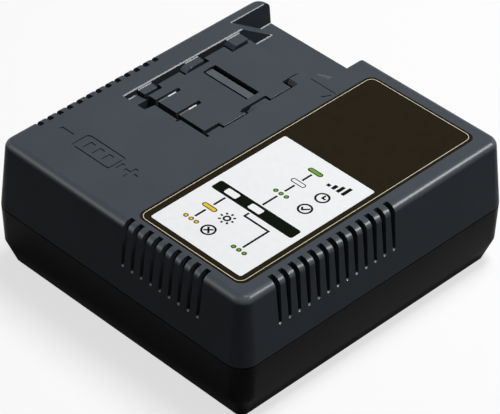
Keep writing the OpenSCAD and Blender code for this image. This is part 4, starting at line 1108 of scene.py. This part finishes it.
def in_a_ring(lines):
    """A sign of a few lines in a ring, as a function of its place; the lines start from its middle."""
    def sign(x, y):
        return [ring(x, y)] + [stroke(x + from_x, y + from_y, x + to_x, y + to_y, LINE)
                               for from_x, from_y, to_x, to_y in lines]
    return sign


def rising_bars(x, y, count=4, pitch=3.0, bar_w=1.9, lowest=1.8, rise=1.5, foot=3.2):
    """Bars on one line, each taller than the last."""
    heights = [lowest + rise * step for step in range(count)]
    return [stamp(x + (step - (count - 1) / 2) * pitch, y - foot + height / 2, bar_w, height)
            for step, height in enumerate(heights)]


def sun(x, y, beams=8, near=2.7, far=4.0):
    """A small ring with beams round it."""
    shapes = [ring(x, y, 4.0)]
    for step in range(beams):
        angle = step * math.tau / beams
        across, up = math.cos(angle), math.sin(angle)
        shapes.append(stroke(x + near * across, y + near * up, x + far * across, y + far * up, LINE))
    return shapes


clock = in_a_ring([(0, -0.3, 0, 2.3), (-0.3, 0, 1.9, 0)])
tick = in_a_ring([(-1.9, 0.2, -0.4, -1.5), (-0.7, -1.5, 1.9, 1.5)])
cross = in_a_ring([(-1.6, -1.6, 1.6, 1.6), (-1.6, 1.6, 1.6, -1.6)])
print("line width of the signs in mm:", LINE)

# %% [markdown]
# ## States in a column
#
# Coloured fills and black outlines are different inks, so one function returns the shapes of a lamp, filled
# or as an outline, and all inks read the same list of states. Each column is listed from its window outwards.

# %% Lamps of the legend
LAMP_W, LAMP_H, LAMP_LINE, DOT, DOT_GAP = 8.6, 2.8, 0.5, 2.5, 3.3
RIGHT_X, LEFT_X = WINDOWS[1][0], WINDOWS[0][0]
STATES = [(RIGHT_X, -18.4, "green", "flash", tick), (RIGHT_X, -7.4, "green", "off", clock),
          (RIGHT_X, 3.6, "green", "steady", rising_bars), (LEFT_X, -48.0, "yellow", "steady", sun),
          (LEFT_X, -59.4, "yellow", "flash", cross)]
FAR_X, FAR_Y = RIGHT_X + 15.0, -59.4


def lamp_shapes(x, y, kind, line=0.0):
    """The shapes of one state: a capsule, or three dots."""
    if kind == "flash":
        return [stamp(x + step * DOT_GAP, y, DOT, DOT, DOT / 2, line=line) for step in (-1, 0, 1)]
    return [stamp(x, y, LAMP_W, LAMP_H, LAMP_H / 2, line=line)]


def fills(colour):
    """All filled shapes of one colour."""
    shapes = []
    for x, y, lamp_colour, kind, _ in STATES:
        if lamp_colour == colour and kind != "off":
            shapes += lamp_shapes(x, y, kind)
    return shapes


print("states:", len(STATES) + 1)

# %% [markdown]
# ## Lines through the states
#
# A line starts at the bar and runs from lamp to lamp, with the same gap on both sides of each. The right
# window has a second line, which leaves it downwards and turns to a state at the far right.

# %% Lines of the legend
LEAD_W, LEAD_GAP = 1.1, 1.0
OVER_BAR, UNDER_BAR, ELBOW_Y = -30.0, -38.4, -41.2


def lead(x, start):
    """The line from the bar through one column of states, with a gap at each."""
    shapes = []
    for stop in [state[1] for state in STATES if state[0] == x]:
        gap = math.copysign(LAMP_H / 2 + LEAD_GAP, stop - start)
        shapes.append(stroke(x, start, x, stop - gap, LEAD_W))
        start = stop + gap
    return shapes


def far_lead():
    """The line that leaves the right window downwards and turns to the far state."""
    return [stroke(RIGHT_X, UNDER_BAR, RIGHT_X, ELBOW_Y, LEAD_W),
            stroke(RIGHT_X - LEAD_W / 2, ELBOW_Y, FAR_X + LEAD_W / 2, ELBOW_Y, LEAD_W),
            stroke(FAR_X, ELBOW_Y, FAR_X, FAR_Y + LAMP_H / 2 + LEAD_GAP, LEAD_W)]


black = lead(RIGHT_X, OVER_BAR) + lead(LEFT_X, UNDER_BAR) + far_lead()
print("strokes of the lines:", len(black))

# %% [markdown]
# ## Three inks
#
# Black prints the lines, the outlines and the signs. Green and yellow fill the lamps that are lit.

# %% Print the legend
SIGN_GAP = {RIGHT_X: 15.0, LEFT_X: 11.0}
for x, y, _, kind, sign in STATES:
    black += lamp_shapes(x, y, kind, LAMP_LINE) + sign(x + SIGN_GAP[x], y)
black += lamp_shapes(FAR_X, FAR_Y, "flash", LAMP_LINE)
ink("print_black", srgb(14, 14, 14), black)
ink("print_green", srgb(108, 160, 56), fills("green") + lamp_shapes(FAR_X, FAR_Y, "flash"))
ink("print_yellow", srgb(226, 192, 58), fills("yellow"))

# %% [markdown] ## Measure and finish The finished charger is measured, and its size in mm is printed.

# %% Measure and finish
low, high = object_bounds()
print("size in mm:", [round((most - least) / MM, 1) for least, most in zip(low, high)])
